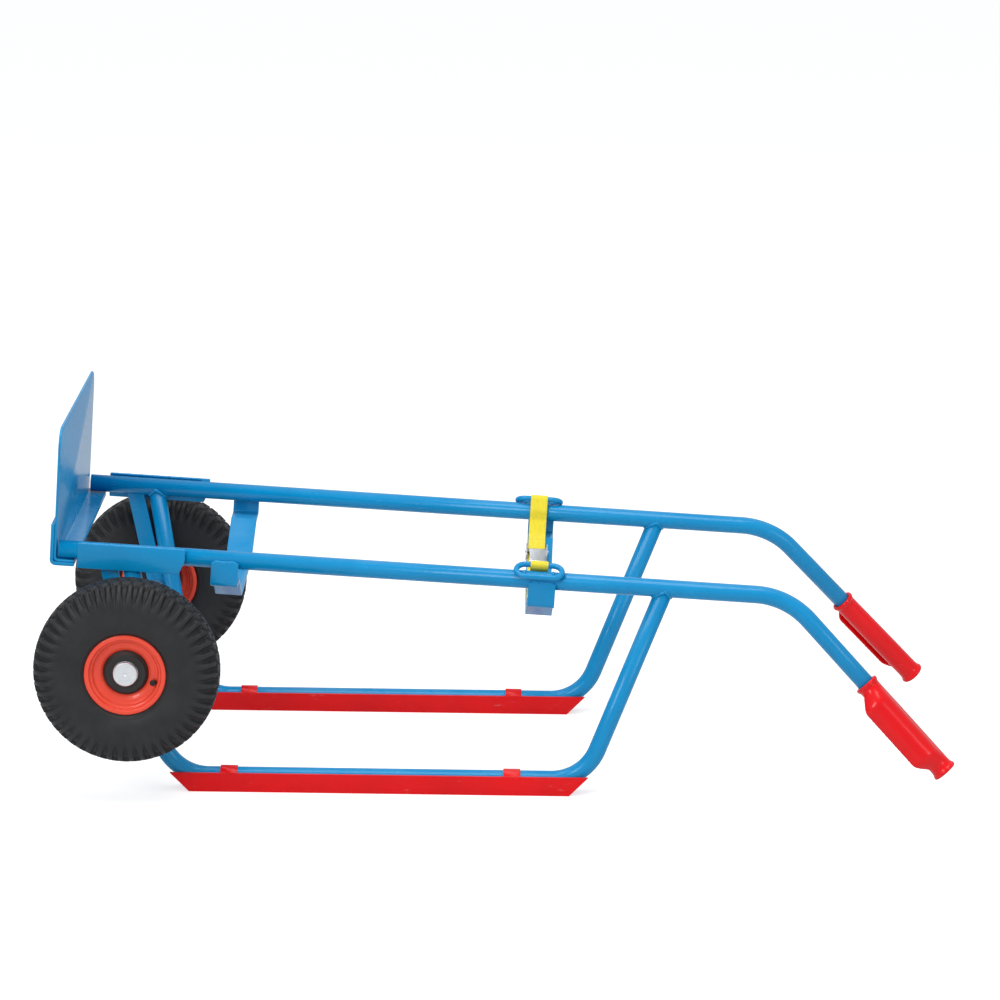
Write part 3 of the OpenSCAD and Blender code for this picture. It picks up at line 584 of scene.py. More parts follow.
def frames_along(path):
    """Tangent, side and up vectors along a path, carried from point to point without twist."""
    tangent = unit(np.gradient(path, axis=0))
    side = unit(np.cross(tangent[0], [0.3, 0.2, 0.9]))
    sides = []
    for t in tangent:
        side = unit(side - (side @ t) * t)
        sides.append(side)
    sides = np.array(sides)
    return tangent, sides, np.cross(tangent, sides)


def swept_tube(name, path, radius, around=40, **settings):
    """Tube along an open path: path + radius * (cos a * side + sin a * up), with flat ends."""
    radius = np.broadcast_to(np.asarray(radius, float), len(path))
    _, side, up = frames_along(path)
    angle = np.linspace(0, 2 * math.pi, around, endpoint=False)
    verts = path[:, None] + radius[:, None, None] * (
        np.cos(angle)[None, :, None] * side[:, None] + np.sin(angle)[None, :, None] * up[:, None])
    faces, _, _ = grid_faces(len(path), around, False, True)
    first, last = list(range(around)), list(range((len(path) - 1) * around, len(path) * around))
    return build(name, verts, faces, caps=[first[::-1] if False else first, last[::-1]], **settings)


def softened(node, width=0.0008, segments=2, material=None, name=None, limit=32):
    """Copy of a CAD node with merged points, flat faces joined, and small rounded edges."""
    source = frame["nodes"][node]
    mesh = source.data.copy()
    mesh.name = name or node + "_finished"
    work = bmesh.new()
    work.from_mesh(mesh)
    bmesh.ops.remove_doubles(work, verts=work.verts, dist=2e-6)
    bmesh.ops.dissolve_limit(work, angle_limit=math.radians(0.6), verts=work.verts, edges=work.edges)
    for face in work.faces:
        face.smooth = True
    work.to_mesh(mesh)
    work.free()
    piece = bpy.data.objects.new(mesh.name, mesh)
    bpy.context.scene.collection.objects.link(piece)
    slot = SLOT_OF[node]
    mesh.materials.clear()
    mesh.materials.append(MATERIALS[material or slot])
    bevel = piece.modifiers.new("rounded_edges", "BEVEL")
    bevel.width = width
    bevel.segments = segments
    bevel.limit_method = "ANGLE"
    bevel.angle_limit = math.radians(limit)
    bevel.harden_normals = True
    bevel.use_clamp_overlap = True
    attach(piece, source["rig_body"])
    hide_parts(node)
    return piece


# ---- frame -----------------------------------------------------------------

def handle_place(along, out, up, side):
    """Place on a handle: along it from its corner, outboard of it and square above it."""
    c, s = math.cos(HANDLE_BEND), math.sin(HANDLE_BEND)
    along, out, up = np.broadcast_arrays(along, out, up)
    u, y, w = along * c + up * s, -out, -along * s + up * c
    cr, sr = math.cos(HANDLE_ROLL), math.sin(HANDLE_ROLL)
    y, w = y * cr + w * sr, -y * sr + w * cr
    return deck(RAIL_LENGTH + u, side * (RAIL_Y - y), w)


def make_rail(label, side):
    """Rail, bend and handle in one piece of tube."""
    corner = handle_place(0.0, 0.0, 0.0, side)
    end = handle_place(HANDLE_LENGTH - 0.006, 0.0, 0.0, side)
    start = deck(RAIL_START, side * RAIL_Y, 0.0)
    path = rounded_path([start, corner, end], HANDLE_RADIUS, 36)
    swept_tube("rail_" + label + "_tube", path, TUBE_R, 48, slot="frame_paint", replaces=["rail_" + label])


def skid_corners(side):
    """Tops of the two legs and the two floor corners of a skid, on the tube's middle line."""
    drop = AXLE_Z - SKID_Z
    stay = 0.0227 / math.cos(STAY_LEAN) + drop * math.tan(STAY_LEAN)
    slope = -DECK_X[2] / DECK_X[0]
    height = RAIL_Z - SKID_Z

    def top(corner_x, lean):
        rise = (height - corner_x * slope) / (math.cos(lean) + math.sin(lean) * slope)
        return corner_x + rise * math.sin(lean), SKID_Z + rise * math.cos(lean)

    stay_top, leg_top = top(stay, -STAY_LEAN), top(SKID_REACH, LEG_LEAN)
    places = [stay_top, (stay, SKID_Z), (SKID_REACH, SKID_Z), leg_top]
    return [np.array([AXLE_X + x, side * RAIL_Y, z]) for x, z in places]


def make_skid(label, side):
    points = skid_corners(side)
    path = rounded_path(points, SKID_RADIUS, 30)
    swept_tube("skid_" + label + "_tube", path, TUBE_R, 48, slot="frame_paint", replaces=["skid_tube_" + label])


def weld_bead(name, path, radius=0.0018, pitch=0.0034, closed=False):
    """Weld bead: a tube along a path whose radius ripples once for each puddle."""
    path = np.asarray(path, float)
    lengths = np.concatenate([[0], np.cumsum(np.linalg.norm(np.diff(path, axis=0), axis=1))])
    count = max(8, int(lengths[-1] / (pitch / 6)))
    at = np.linspace(0, lengths[-1], count)
    path = np.stack([np.interp(at, lengths, path[:, k]) for k in range(3)], -1)
    ripple = np.abs(np.sin(math.pi * at / pitch))
    swell = 1 + 0.10 * np.sin(at * 310.0) + 0.07 * np.sin(at * 731.0 + 1.0)
    taper = np.ones(count) if closed else np.clip(np.minimum(at, lengths[-1] - at) / radius, 0.25, 1)
    return swept_tube(name, path, radius * swell * taper * (0.86 + 0.14 * ripple), 10, slot="frame_paint")


def leg_weld(name, top, corner, side):
    """Bead round a leg where it meets the rail: the curve on which both tubes' walls lie.

    Round the leg at angle a, the point is moved up the leg until it is one tube radius
    from the rail's middle line.
    """
    along = unit(top - corner)
    across = np.array([0.0, side, 0.0])
    third = np.cross(along, across)
    angle = np.linspace(0, 2 * math.pi, 73)
    ring = top + TUBE_R * (np.cos(angle)[:, None] * across + np.sin(angle)[:, None] * third)
    origin = deck(0.0, side * RAIL_Y, 0.0)
    offset = ring - origin
    offset = offset - (offset @ DECK_X)[:, None] * DECK_X
    slide = along - (along @ DECK_X) * DECK_X
    a, b = slide @ slide, offset @ slide
    gap = (offset * offset).sum(axis=1) - (TUBE_R + 0.0004) ** 2
    back = (-b - np.sqrt(np.maximum(b * b - a * gap, 0))) / a
    weld_bead(name, ring + back[:, None] * along, closed=True)


def make_welds():
    for label, side in SIDES.items():
        stay_top, stay, leg, leg_top = skid_corners(side)
        leg_weld("weld_stay_" + label, stay_top, stay, side)
        leg_weld("weld_leg_" + label, leg_top, leg, side)
        out = side * (RAIL_Y + TUBE_R)
        for tag, low, high in (("front", 0.117, 0.151), ("rear", 0.560, 0.594)):
            weld_bead("weld_bar_%s_%s" % (tag, label),
                      deck(np.linspace(low, high, 20), out + side * 0.0018, -0.0008), 0.0021)
        weld_bead("weld_plate_top_" + label,
                  deck(np.linspace(-0.070, 0.066, 40), out + side * 0.0004, 0.0128), 0.0020)
        weld_bead("weld_heel_" + label,
                  deck(-0.1036, np.linspace(RAIL_Y - 0.010, RAIL_Y + 0.010, 12) * side, 0.0126), 0.0022)
        for k, u in enumerate((EYE_X - 0.020, EYE_X + 0.020)):
            arc = np.radians(np.linspace(95, 137, 12))
            weld_bead("weld_eye_%s_%d" % (label, k),
                      deck(u, side * (RAIL_Y - 0.0130 * np.cos(arc)), 0.0130 * np.sin(arc)), 0.0022)


def make_plates():
    for node, width in (("heel_angle", 0.0010), ("toe_plate", 0.0010), ("rail_plate_left", 0.0011),
                        ("rail_plate_right", 0.0011), ("cradle_bar_front", 0.0008),
                        ("cradle_bar_rear", 0.0008), ("axle_stay_left", 0.0009),
                        ("axle_stay_right", 0.0009), ("axle", 0.0010), ("axle_washers", 0.0003),
                        ("skid_shoe_left", 0.0010), ("skid_shoe_right", 0.0010),
                        ("bearings_left", 0.0004), ("bearings_right", 0.0004)):
        softened(node, width)


def make_eyes():
    """Strap eyes: round bar bent to a stadium, as a tube along a closed stadium path."""
    for label, side in SIDES.items():
        tilt, bar_r, reach, straight = math.radians(26.5), 0.004, 0.013, 0.038
        angle = np.linspace(-math.pi / 2, math.pi / 2, 25)
        right = np.stack([straight / 2 + reach * np.cos(angle), reach * np.sin(angle)], -1)
        loop = np.concatenate([right, -right])
        out = -(TUBE_R + bar_r + 0.0001) * math.sin(tilt)
        up = (TUBE_R + bar_r + 0.0001) * math.cos(tilt)
        y = -RAIL_Y + out + loop[:, 1] * math.cos(tilt)
        w = up + loop[:, 1] * math.sin(tilt)
        path = deck(EYE_X + loop[:, 0], -side * y, w)
        ring_tube("strap_eye_" + label + "_ring", path, bar_r, slot="frame_paint",
                  replaces=["strap_eye_" + label])


def ring_tube(name, path, radius, around=20, **settings):
    """Tube along a closed flat path: side lies in the path's plane and up is its normal."""
    tangent = unit(np.roll(path, -1, axis=0) - np.roll(path, 1, axis=0))
    centre = path.mean(axis=0)
    normal = unit(np.cross(path[0] - centre, path[len(path) // 4] - centre))
    side = np.cross(tangent, normal)
    angle = np.linspace(0, 2 * math.pi, around, endpoint=False)
    verts = path[:, None] + radius * (np.cos(angle)[None, :, None] * side[:, None]
                                      + np.sin(angle)[None, :, None] * normal)
    faces, _, _ = grid_faces(len(path), around, True, True)
    return build(name, verts, faces, **settings)


# ---- wheels ----------------------------------------------------------------

LUGS = 50
# rings moulded on the tyre's wall: radius, half width and height
WALL_RINGS = ((0.0922, 0.0008, 0.0008), (0.0618, 0.0012, 0.0008))


def tyre_outline(points):
    """Outer casing from one bead over the crown to the other, as (along, radius).

    A rounded box |y/a|^n + |r/b|^n = 1 about the middle radius, sampled by angle.
    """
    a, b, middle, n = 0.0400, 0.04125, 0.08875, 2.7

    def casing(angle):
        c, s = np.cos(angle), np.sin(angle)
        return (a * np.sign(c) * np.abs(c) ** (2 / n), middle + b * np.sign(s) * np.abs(s) ** (2 / n))

    low, high = math.radians(-50), math.radians(230)
    fine = np.linspace(low, high, 20001)
    along, radius = casing(fine)
    extra = []
    for ring, width, _ in WALL_RINGS:
        for offset in np.linspace(-1.8, 1.8, 7) * width:
            for half in (along > 0, along < 0):
                extra.append(fine[half][np.argmin(np.abs(radius[half] - ring - offset))])
    return casing(np.unique(np.concatenate([np.linspace(low, high, points), extra])))


def smooth_step(x, low, high):
    t = np.clip((x - low) / (high - low), 0, 1)
    return t * t * (3 - 2 * t)


def tread_depth(turn, along, radius):
    """How deep the tread is cut at each point, in metres, and thin ridges as negative depth.

    Crown: zigzag grooves, each a band round y = y_k + swing * triangle(turn), and short
    cross cuts between them. Shoulder: one flute between each pair of lugs, which widens
    and deepens towards the crown. Wall: two thin rings and a crest along each lug.
    """
    phase = turn * LUGS / (2 * math.pi)
    triangle = 2 * np.abs(2 * (phase - np.floor(phase + 0.5))) - 1
    crown = smooth_step(radius, 0.1245, 0.1275)
    depth = np.zeros(np.broadcast_shapes(turn.shape, along.shape))
    for k, row in enumerate((-0.0200, -0.0068, 0.0068, 0.0200)):
        swing = 0.0024 * (1 if k % 2 else -1)
        distance = np.abs(along - row - swing * triangle)
        depth = np.maximum(depth, 0.0036 * (1 - smooth_step(distance, 0.0009, 0.0022)) * crown)
    for k, (low, high) in enumerate(((-0.0190, -0.0078), (-0.0058, 0.0058), (0.0078, 0.0190))):
        cut = np.abs(phase + 0.25 + 0.5 * (k % 2) + 12 * along - np.round(phase + 0.25 + 0.5 * (k % 2) + 12 * along))
        inside = (along > low) & (along < high)
        depth = np.maximum(depth, 0.0026 * (1 - smooth_step(cut, 0.05, 0.11)) * inside * crown)
    shoulder = smooth_step(np.abs(along), 0.0215, 0.0250)
    rise = smooth_step(radius, 0.0950, 0.1240)
    gap = np.abs(phase + 0.5 - np.round(phase + 0.5))
    wide = 0.10 + 0.22 * rise
    flute = (1 - smooth_step(gap, wide * 0.55, wide + 0.06)) * rise ** 0.8
    depth = np.maximum(depth, 0.0046 * flute * shoulder)
    crest = np.abs(phase - np.round(phase))
    ridge = (1 - smooth_step(crest, 0.03, 0.09)) * smooth_step(radius, 0.0920, 0.0945)
    ridge = ridge * (1 - smooth_step(radius, 0.1060, 0.1180))
    depth = depth - 0.0010 * ridge * (depth < 0.001)
    for ring, width, high in WALL_RINGS:
        depth = depth - high * np.exp(-((radius - ring) / width) ** 2)
    return depth


def make_tyre(label, side):
    """Tyre as a closed grid: turn round the axle by place along the casing's closed outline.

    The outer part is the casing moved inwards along its own normal by the tread's depth,
    and the return path is the inside of the casing from bead to bead.
    """
    turns, points = LUGS * 16, 78
    along, radius = tyre_outline(points)
    normal = np.stack([-np.gradient(radius), np.gradient(along)], -1)
    normal = unit(normal) * -1
    turn = np.linspace(0, 2 * math.pi, turns, endpoint=False)[:, None]
    cut = tread_depth(turn, along[None, :], radius[None, :])
    shift = np.where(cut < 0, cut, cut)
    y = along[None, :] - normal[None, :, 0] * shift
    r = radius[None, :] - normal[None, :, 1] * shift
    y = np.clip(y, -0.0400, 0.0400)
    inner = np.array([[-0.0300, 0.0505], [-0.0265, 0.0525], [-0.0300, 0.0640], [-0.0345, 0.0860],
                      [-0.0280, 0.1160], [0.0, 0.1175], [0.0280, 0.1160], [0.0345, 0.0860],
                      [0.0300, 0.0640], [0.0265, 0.0525], [0.0300, 0.0505]])
    if along[0] > 0:
        inner = inner
    else:
        inner = inner[::-1]
    y = np.concatenate([y, np.broadcast_to(inner[:, 0], (turns, len(inner)))], axis=1)
    r = np.concatenate([r, np.broadcast_to(inner[:, 1], (turns, len(inner)))], axis=1)
    verts = np.stack([AXLE_X + r * np.cos(turn), side * WHEEL_Y + y, AXLE_Z + r * np.sin(turn)], -1)
    faces, _, _ = grid_faces(turns, y.shape[1], True, True)
    # painted shade: groove depth as a 0 to 1 mask, which darkens the rubber in the cuts
    shade = np.concatenate([np.clip(cut / 0.0036, 0, 1), np.zeros((turns, len(inner)))], axis=1)
    build("tyre_%s_treaded" % label, verts, faces, body="wheel_" + label, slot="tyre_rubber",
          replaces=["tyre_" + label], values=shade)


RIM_FACE = [
    (0.0303, 0.0570), (0.0322, 0.0570), (0.0335, 0.0558), (0.0336, 0.0530), (0.0333, 0.0512),
    (0.0322, 0.0502), (0.0290, 0.0497), (0.0274, 0.0490), (0.0270, 0.0475), (0.0262, 0.0462),
    (0.0235, 0.0455), (0.0216, 0.0445), (0.0209, 0.0425), (0.0203, 0.0390), (0.0186, 0.0350),
    (0.0163, 0.0318), (0.0152, 0.0312), (0.0135, 0.0312)]
RIM_BACK = [
    (0.0150, 0.0340), (0.0175, 0.0385), (0.0183, 0.0440), (0.0170, 0.0468), (0.0150, 0.0480),
    (0.0001, 0.0480), (0.0001, 0.0502), (0.0300, 0.0502), (0.0312, 0.0550)]


def make_wheel(label, side):
    """Rims, hub, valve and axle cap of one wheel, as turned outlines."""
    body = "wheel_" + label
    centre = (AXLE_X, side * WHEEL_Y, AXLE_Z)
    make_tyre(label, side)
    rim = softened_outline(RIM_FACE + RIM_BACK, 0.0011, 3)
    for name, facing in (("rim_outer", side), ("rim_inner", -side)):
        lathe("%s_%s_pressed" % (name, label), rim, centre, (0, facing, 0), 160, body=body,
              slot="rim_paint", replaces=["%s_%s" % (name, label)])
    face = [(0.0, 0.0310), (0.0178, 0.0310), (0.0186, 0.0302), (0.0190, 0.0290), (0.0212, 0.0284),
            (0.0226, 0.0277), (0.0231, 0.0268), (0.0231, 0.0176), (0.0227, 0.0176), (0.0227, 0.0218)]
    hub = face + [(-y, r) for y, r in face[::-1][:-1]]
    hub = softened_outline(hub, 0.0007, 3)
    lathe("hub_%s_turned" % label, hub, centre, (0, 1, 0), 128, body=body, slot="hub_plastic",
          replaces=["hub_" + label])
    cap_y = 0.0255
    cap = [(cap_y, 0.0004), (cap_y, 0.0165), (cap_y + 0.0006, 0.0170), (cap_y + 0.0028, 0.0170),
           (cap_y + 0.0038, 0.0160), (cap_y + 0.0040, 0.0130), (cap_y + 0.0040, 0.0040),
           (cap_y + 0.0037, 0.0022), (cap_y + 0.0028, 0.0010), (cap_y + 0.0026, 0.0004)]
    cap = softened_outline(cap, 0.0005, 3)
    lathe("axle_cap_%s_turned" % label, cap, centre, (0, side, 0), 128, slot="zinc_plate",
          material="zinc_cap", replaces=["axle_cap_" + label])
    make_valve(label, body)


def make_valve(label, body):
    """Rubber stem and its ribbed screw cap, along the line through the two CAD nodes."""
    stem_low, stem_high = (np.array(p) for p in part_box("valve_stem_" + label))
    cap_low, cap_high = (np.array(p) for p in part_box("valve_cap_" + label))
    stem, cap = (stem_low + stem_high) / 2, (cap_low + cap_high) / 2
    axis = unit(cap - stem)
    outline = [(-0.0055, 0.0004), (-0.0055, 0.0050), (-0.0035, 0.0050), (-0.0015, 0.0042),
               (0.0040, 0.0036), (0.0056, 0.0036), (0.0056, 0.0004)]
    lathe("valve_stem_%s_moulded" % label, softened_outline(outline, 0.0006, 3), stem, axis, 40,
          body=body, slot="tube_rubber", replaces=["valve_stem_" + label])
    steps, ribs = 96, 16
    profile = softened_outline([(-0.0039, 0.0004), (-0.0039, 0.0041), (0.0030, 0.0041), (0.0039, 0.0033),
                                (0.0039, 0.0004)], 0.0005, 3)
    side = unit(np.cross(axis, [0.0, 0, 1]))
    up = np.cross(axis, side)
    angle = np.linspace(0, 2 * math.pi, steps, endpoint=False)[:, None]
    knurl = 1 + 0.045 * np.cos(ribs * angle) * (np.abs(profile[None, :, 0] + 0.0008) < 0.0026)
    r = profile[None, :, 1] * knurl
    verts = cap + profile[None, :, :1] * axis + r[..., None] * (
        np.cos(angle)[..., None] * side + np.sin(angle)[..., None] * up)
    faces, _, _ = grid_faces(steps, len(profile), True, True)
    build("valve_cap_%s_ribbed" % label, verts, faces, body=body, slot="cap_plastic",
          replaces=["valve_cap_" + label])


# ---- grips -----------------------------------------------------------------

HOOD_T = 0.0032


def make_grip(label, side):
    """Moulded grip: a turned barrel and a knuckle hood, blended into one skin.

    The hood's section runs from 35 degrees off the top, over the outer side, to 147 degrees.
    Its outer face is at R = barrel + (full(angle) - barrel) * spread(along), where spread
    rises from 0 at one end to 1 in the middle and falls to 0 at the other.
    """
    start = HANDLE_LENGTH - GRIP_LENGTH
    outline = softened_outline(
        [(0.0, 0.0126), (0.0, 0.0168), (0.0010, 0.0175), (0.0048, 0.0175), (0.0060, 0.0160),
         (0.0100, 0.0152), (0.0800, 0.0155), (0.1560, 0.0155), (0.1610, 0.0162), (0.1632, 0.0180),
         (0.1662, 0.0180), (0.1680, 0.0162), (0.1680, 0.0004), (0.1660, 0.0004), (0.1660, 0.0126)],
        0.0012, 3)
    turns = 96
    angle = np.linspace(0, 2 * math.pi, turns, endpoint=False)[:, None]
    barrel = handle_place(start + outline[None, :, 0], outline[None, :, 1] * np.cos(angle),
                          outline[None, :, 1] * np.sin(angle), side)
    barrel_faces, _, _ = grid_faces(turns, outline.shape[0], True, True)

    along = np.linspace(0.004, 0.157, 110)[:, None]
    spread = smooth_step(along, 0.004, 0.034) * (1 - smooth_step(along, 0.128, 0.157))
    sweep = np.radians(np.linspace(35, 147, 44))
    full = np.interp(np.degrees(sweep), (35, 90, 125, 147), (0.0155, 0.0260, 0.0315, 0.0365))
    full = np.convolve(np.pad(full, 5, mode="edge"), np.ones(11) / 11, mode="valid")
    outer = 0.0155 + (full[None, :] - 0.0155) * spread
    reach = np.concatenate([outer, (outer - HOOD_T)[:, ::-1]], axis=1)
    turn = np.concatenate([sweep, sweep[::-1]])[None, :]
    guard = handle_place(start + along, reach * np.sin(turn), reach * np.cos(turn), side)
    ring = reach.shape[1]
    guard_faces, _, _ = grid_faces(len(along), ring, False, True)
    ends = [list(range(ring)), list(range((len(along) - 1) * ring, len(along) * ring))[::-1]]
    guard = guard.reshape(-1, 3)
    barrel = barrel.reshape(-1, 3)

    shell = bpy.data.meshes.new("grip_raw")
    faces = (barrel_faces.tolist() + (guard_faces + len(barrel)).tolist()
             + [[i + len(barrel) for i in end] for end in ends])
    shell.from_pydata(np.concatenate([barrel, guard]).tolist(), [], faces)
    work = bmesh.new()
    work.from_mesh(shell)
    bmesh.ops.recalc_face_normals(work, faces=work.faces)
    work.to_mesh(shell)
    work.free()
    piece = bpy.data.objects.new("grip_%s_moulded" % label, shell)
    bpy.context.scene.collection.objects.link(piece)
    remesh = piece.modifiers.new("one_skin", "REMESH")
    remesh.mode = "VOXEL"
    remesh.voxel_size = 0.0010
    relax = piece.modifiers.new("relaxed", "SMOOTH")
    relax.factor = 0.5
    relax.iterations = 8
    done = bpy.data.meshes.new_from_object(piece.evaluated_get(bpy.context.evaluated_depsgraph_get()))
    piece.modifiers.clear()
    piece.data = done
    done.name = piece.name
    done.materials.clear()
    done.materials.append(MATERIALS["grip_plastic"])
    done.polygons.foreach_set("use_smooth", np.full(len(done.polygons), True))
    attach(piece, "frame")
    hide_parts("grip_" + label)


# ---- strap -----------------------------------------------------------------

STRAP_T = 0.0018
STRAP_W = 0.025
BAR_T = 0.004
BAR_DROP = 0.0365
BAR_DIP = 0.078
BAR_SHELF_Y = RAIL_Y - 0.028
BAR_FLAT_Y = 0.105
BUCKLE_Y = 0.146
LAYER = STRAP_T + 0.0002
BUCKLE_FLOOR = 0.0003 + LAYER
WEB_Z = BUCKLE_FLOOR + 0.0015 + 0.0003 + STRAP_T / 2
RAMP = math.atan2(BAR_DIP - BAR_DROP, BAR_SHELF_Y - BAR_FLAT_Y)
RAMP_TOP = BAR_T / 2 / math.cos(RAMP)
BUCKLE_Z = -BAR_DIP + BAR_T / 2 + (BUCKLE_Y - BAR_FLAT_Y) * math.tan(RAMP) + RAMP_TOP


def on_ramp(y, z):
    """Place along the buckle's ramp and square to it, as a deck (y, w) pair."""
    c, s = math.cos(RAMP), math.sin(RAMP)
    return (BUCKLE_Y + y * c - z * s, BUCKLE_Z + y * s + z * c)


def arc_points(centre, radius, start, end, steps):
    angle = np.radians(np.linspace(start, end, steps + 1))
    return [(centre[0] + radius * math.cos(a), centre[1] + radius * math.sin(a)) for a in angle]


def strap_paths():
    """Middle lines of the long strap and the short anchor, as deck (y, w) pairs."""
    bar_r, tilt = 0.004, math.radians(26.5)
    lift = TUBE_R + bar_r + 0.0001
    eye = (-RAIL_Y - lift * math.sin(tilt) + 0.013 * math.cos(tilt),
           lift * math.cos(tilt) + 0.013 * math.sin(tilt))
    wrap, hug = bar_r + 0.0004 + STRAP_T / 2, TUBE_R + 0.0007 + STRAP_T / 2
    away = (eye[0] + RAIL_Y, eye[1])
    leave = math.degrees(math.atan2(away[1], away[0]) - math.acos((hug + wrap) / math.hypot(*away)))
    lie = BAR_T / 2 + 0.0003 + STRAP_T / 2
    flat, shelf = -BAR_DIP + BAR_T / 2 + lie, -BAR_DROP + BAR_T / 2 + lie
    under = RAIL_Y - hug
    over = under - STRAP_T - 0.0009
    loop = ([(-under, -0.009)] + arc_points((-RAIL_Y, 0), hug, 0, leave, 8)
            + arc_points(eye, wrap, 180 + leave, 12, 20) + [(-over, 0.006), (-over, -0.0085)])
    long = ([(-under + 0.0086, shelf + 0.003)] + loop
            + [(-over + 0.0084, shelf + 0.0044), (-BAR_SHELF_Y + 0.005, shelf - 0.0008),
               (-BAR_FLAT_Y + 0.0005, flat), (BAR_FLAT_Y - 0.010, flat),
               on_ramp(-0.030, 0.0042), on_ramp(-0.020, WEB_Z), on_ramp(0.009, WEB_Z),
               on_ramp(0.014, WEB_Z + LAYER + 0.0004), on_ramp(0.032, WEB_Z + LAYER + 0.0006)])
    flipped = [(-y, w) for y, w in loop]
    anchor = ([on_ramp(0.0162, 0.0003 + STRAP_T / 2), on_ramp(0.036, 0.0003 + STRAP_T / 2),
               (under - 0.0116, shelf + 0.0017)] + flipped
              + [(over - 0.0107, shelf + 0.0041), on_ramp(0.026, WEB_Z - 0.0003), on_ramp(0.013, WEB_Z)])
    return np.array(long), np.array(anchor), flat


def eased(path, spacing=0.0012, passes=5):
    """Path sampled at even steps, its corners eased by repeated averaging with its neighbours."""
    lengths = np.concatenate([[0], np.cumsum(np.linalg.norm(np.diff(path, axis=0), axis=1))])
    at = np.linspace(0, lengths[-1], int(lengths[-1] / spacing))
    fine = np.stack([np.interp(at, lengths, path[:, k]) for k in range(path.shape[1])], -1)
    for _ in range(passes):
        fine[1:-1] = 0.5 * fine[1:-1] + 0.25 * (fine[:-2] + fine[2:])
    return fine


def band(name, path, centre_x, width=STRAP_W, thick=STRAP_T, sway=0.0, **settings):
    """Webbing along a (y, w) path: a rounded flat section, with the length and width as its UV.

    The section is x = (width/2) * |cos|^0.35 and t = (thick/2) * |sin|^0.7, both signed.
    """
    tangent = unit(np.gradient(path, axis=0))
    normal = np.stack([-tangent[:, 1], tangent[:, 0]], -1)
    lengths = np.concatenate([[0], np.cumsum(np.linalg.norm(np.diff(path, axis=0), axis=1))])
    around = 32
    a = np.linspace(0, 2 * math.pi, around, endpoint=False)
    across = width / 2 * np.sign(np.cos(a)) * np.abs(np.cos(a)) ** 0.35
    lift = thick / 2 * np.sign(np.sin(a)) * np.abs(np.sin(a)) ** 0.7
    drift = sway * np.sin(lengths * 38.0) * np.sin(lengths / lengths[-1] * math.pi)
    u = centre_x + across[None, :] + drift[:, None]
    y = path[:, :1] + normal[:, :1] * lift
    w = path[:, 1:] + normal[:, 1:] * lift
    verts = deck(u, y, w)
    faces, rows, cols = grid_faces(len(path), around, False, True)
    wide = np.append(across, across[0])
    uv = np.stack([lengths[rows], wide[cols] + 0.02], -1)
    caps = [list(range(around)), list(range((len(path) - 1) * around, len(path) * around))[::-1]]
    return build(name, verts, faces, caps=caps, uv=uv, slot="webbing", **settings)


def stitch_box(name, path, low, high, lift):
    """Box and cross of stitches on a band between two lengths along its path.

    Each stitch is a short fat thread that dives at both ends.
    """
    lengths = np.concatenate([[0], np.cumsum(np.linalg.norm(np.diff(path, axis=0), axis=1))])
    half = STRAP_W / 2 - 0.0030
    corners = [(low, -half), (low, half), (high, half), (high, -half), (low, -half), (high, half),
               (high, -half), (low, half)]
    step, radius, around, rings = 0.0030, 0.00036, 6, 6
    starts, ends = [], []
    for (l0, x0), (l1, x1) in zip(corners, corners[1:]):
        count = max(1, int(math.hypot(l1 - l0, x1 - x0) / step))
        t = np.arange(count) / count
        starts.append(np.stack([l0 + (l1 - l0) * (t + 0.12 / count), x0 + (x1 - x0) * (t + 0.12 / count)], -1))
        ends.append(np.stack([l0 + (l1 - l0) * (t + 0.88 / count), x0 + (x1 - x0) * (t + 0.88 / count)], -1))
    starts, ends = np.concatenate(starts), np.concatenate(ends)
    s = np.linspace(0, 1, rings)[None, :, None]
    spine = starts[:, None] * (1 - s) + ends[:, None] * s
    dive = 0.0004 * np.abs(2 * s[..., 0] - 1) ** 2
    y = np.interp(spine[..., 0], lengths, path[:, 0])
    w = np.interp(spine[..., 0], lengths, path[:, 1])
    tangent = unit(np.gradient(path, axis=0))
    ny = np.interp(spine[..., 0], lengths, -tangent[:, 1])
    nw = np.interp(spine[..., 0], lengths, tangent[:, 0])
    out = lift - dive
    base = deck(EYE_X + spine[..., 1], y + ny * out, w + nw * out)
    along = unit(base[:, -1] - base[:, 0])[:, None]
    normal = unit(ny[..., None] * np.array([0, 1.0, 0]) + nw[..., None] * DECK_Z)
    side = unit(np.cross(along, normal))
    a = np.linspace(0, 2 * math.pi, around, endpoint=False)
    verts = base[:, :, None] + radius * (np.cos(a)[:, None] * side[:, :, None]
                                         + np.sin(a)[:, None] * normal[:, :, None])
    one, _, _ = grid_faces(rings, around, False, True)
    count = len(starts)
    faces = (one[None] + (np.arange(count) * rings * around)[:, None, None]).reshape(-1, 4)
    caps = []
    for k in range(count):
        base_index = k * rings * around
        caps.append(list(range(base_index, base_index + around)))
        caps.append(list(range(base_index + (rings - 1) * around, base_index + rings * around))[::-1])
    build(name, verts, faces, caps=caps, slot="webbing", material="thread")


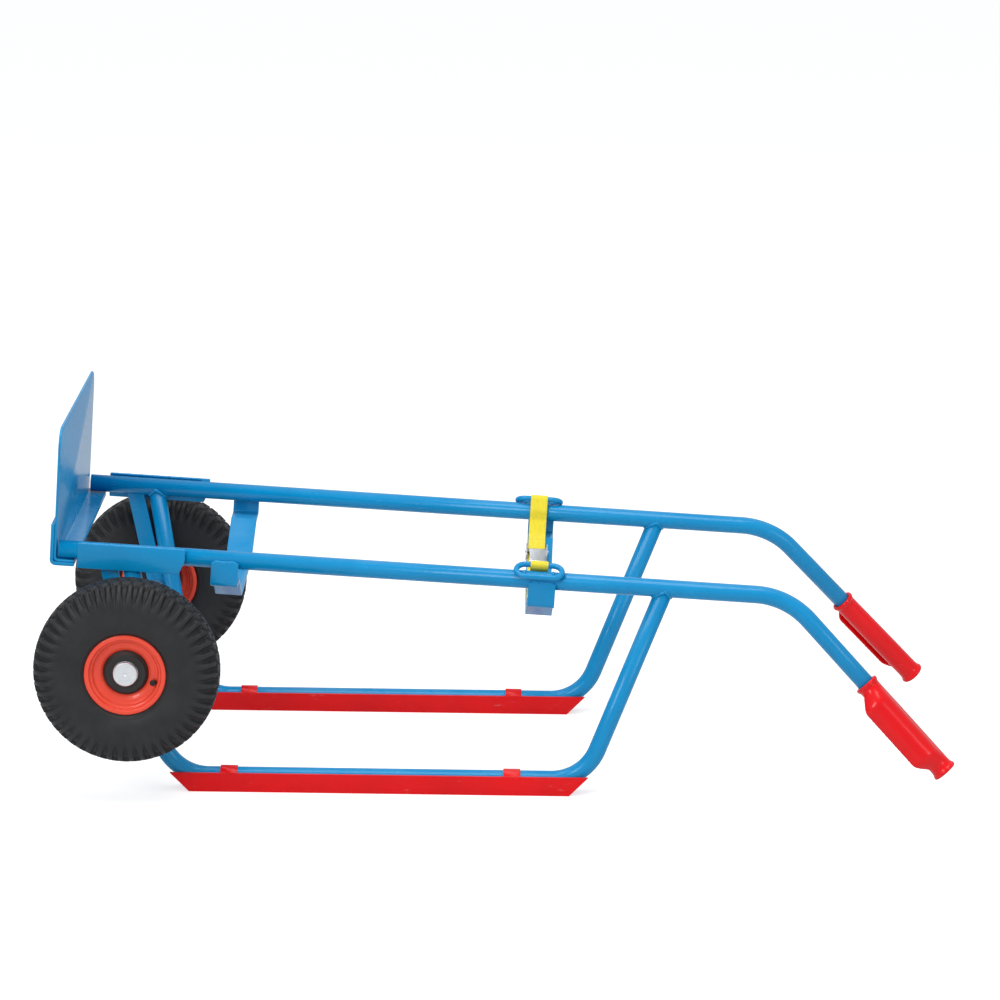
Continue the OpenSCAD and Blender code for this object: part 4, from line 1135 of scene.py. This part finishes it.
def make_strap():
    long, anchor, flat = strap_paths()
    long, anchor = eased(long), eased(anchor)
    band("strap_long_woven", long, EYE_X, sway=0.0, replaces=["strap_webbing"])
    band("strap_anchor_woven", anchor, EYE_X, replaces=["strap_anchor"])
    turns, inner, outer = 7.2, 0.0060, 0.0198
    t = np.linspace(0, 1, 620)
    radius = inner + (outer - inner) * t
    angle = 2 * math.pi * turns * t - math.pi / 2 - 2 * math.pi * (turns % 1)
    centre_w = flat + STRAP_T / 2 + 0.0003 + 0.021
    spiral = np.stack([radius * np.cos(angle), centre_w + radius * np.sin(angle)], -1)
    band("strap_roll_wound", spiral, EYE_X, replaces=["strap_roll"])
    top = STRAP_T / 2
    start = np.argmin(np.abs(long[:, 1] - 0.006) + (np.arange(len(long)) < 30) * 9)
    lengths = np.concatenate([[0], np.cumsum(np.linalg.norm(np.diff(long, axis=0), axis=1))])
    stitch_box("stitches_left", long, lengths[start] + 0.004, lengths[start] + 0.030, top)
    total = np.linalg.norm(np.diff(anchor, axis=0), axis=1).sum()
    stitch_box("stitches_right", anchor, total - 0.058, total - 0.034, top)


def make_buckle():
    softened("buckle_body", 0.0004, 2)
    softened("buckle_cam", 0.0005, 2, limit=40)
    softened("buckle_pin", 0.0003, 2)
    low, high = (np.array(p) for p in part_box("buckle_spring"))
    centre = (low + high) / 2
    t = np.linspace(0, 1, 150)
    turns, coil_r, wire_r = 4.0, 0.0029, 0.00035
    angle = 2 * math.pi * turns * t
    half = 0.0014
    side = np.array([0.0, 1.0, 0.0])
    path = (centre + ((2 * t - 1) * half)[:, None] * DECK_X + coil_r * np.cos(angle)[:, None] * side
            + coil_r * np.sin(angle)[:, None] * DECK_Z)
    swept_tube("buckle_spring_coil", path, wire_r, 10, slot="spring_steel", replaces=["buckle_spring"])


# ---- the whole dolly --------------------------------------------------------

make_camera()
make_studio()
make_floor()
MATERIALS = make_materials()
SLOT_OF = {part["node"]: part["material_slot"] for part in frame["record"]["subparts"]}
for node, obj in frame["nodes"].items():
    obj.data.materials.clear()
    obj.data.materials.append(MATERIALS[SLOT_OF[node]])

for label, side in SIDES.items():
    make_rail(label, side)
    make_skid(label, side)
    make_wheel(label, side)
    make_grip(label, side)
make_plates()
make_eyes()
make_welds()
make_strap()
make_buckle()
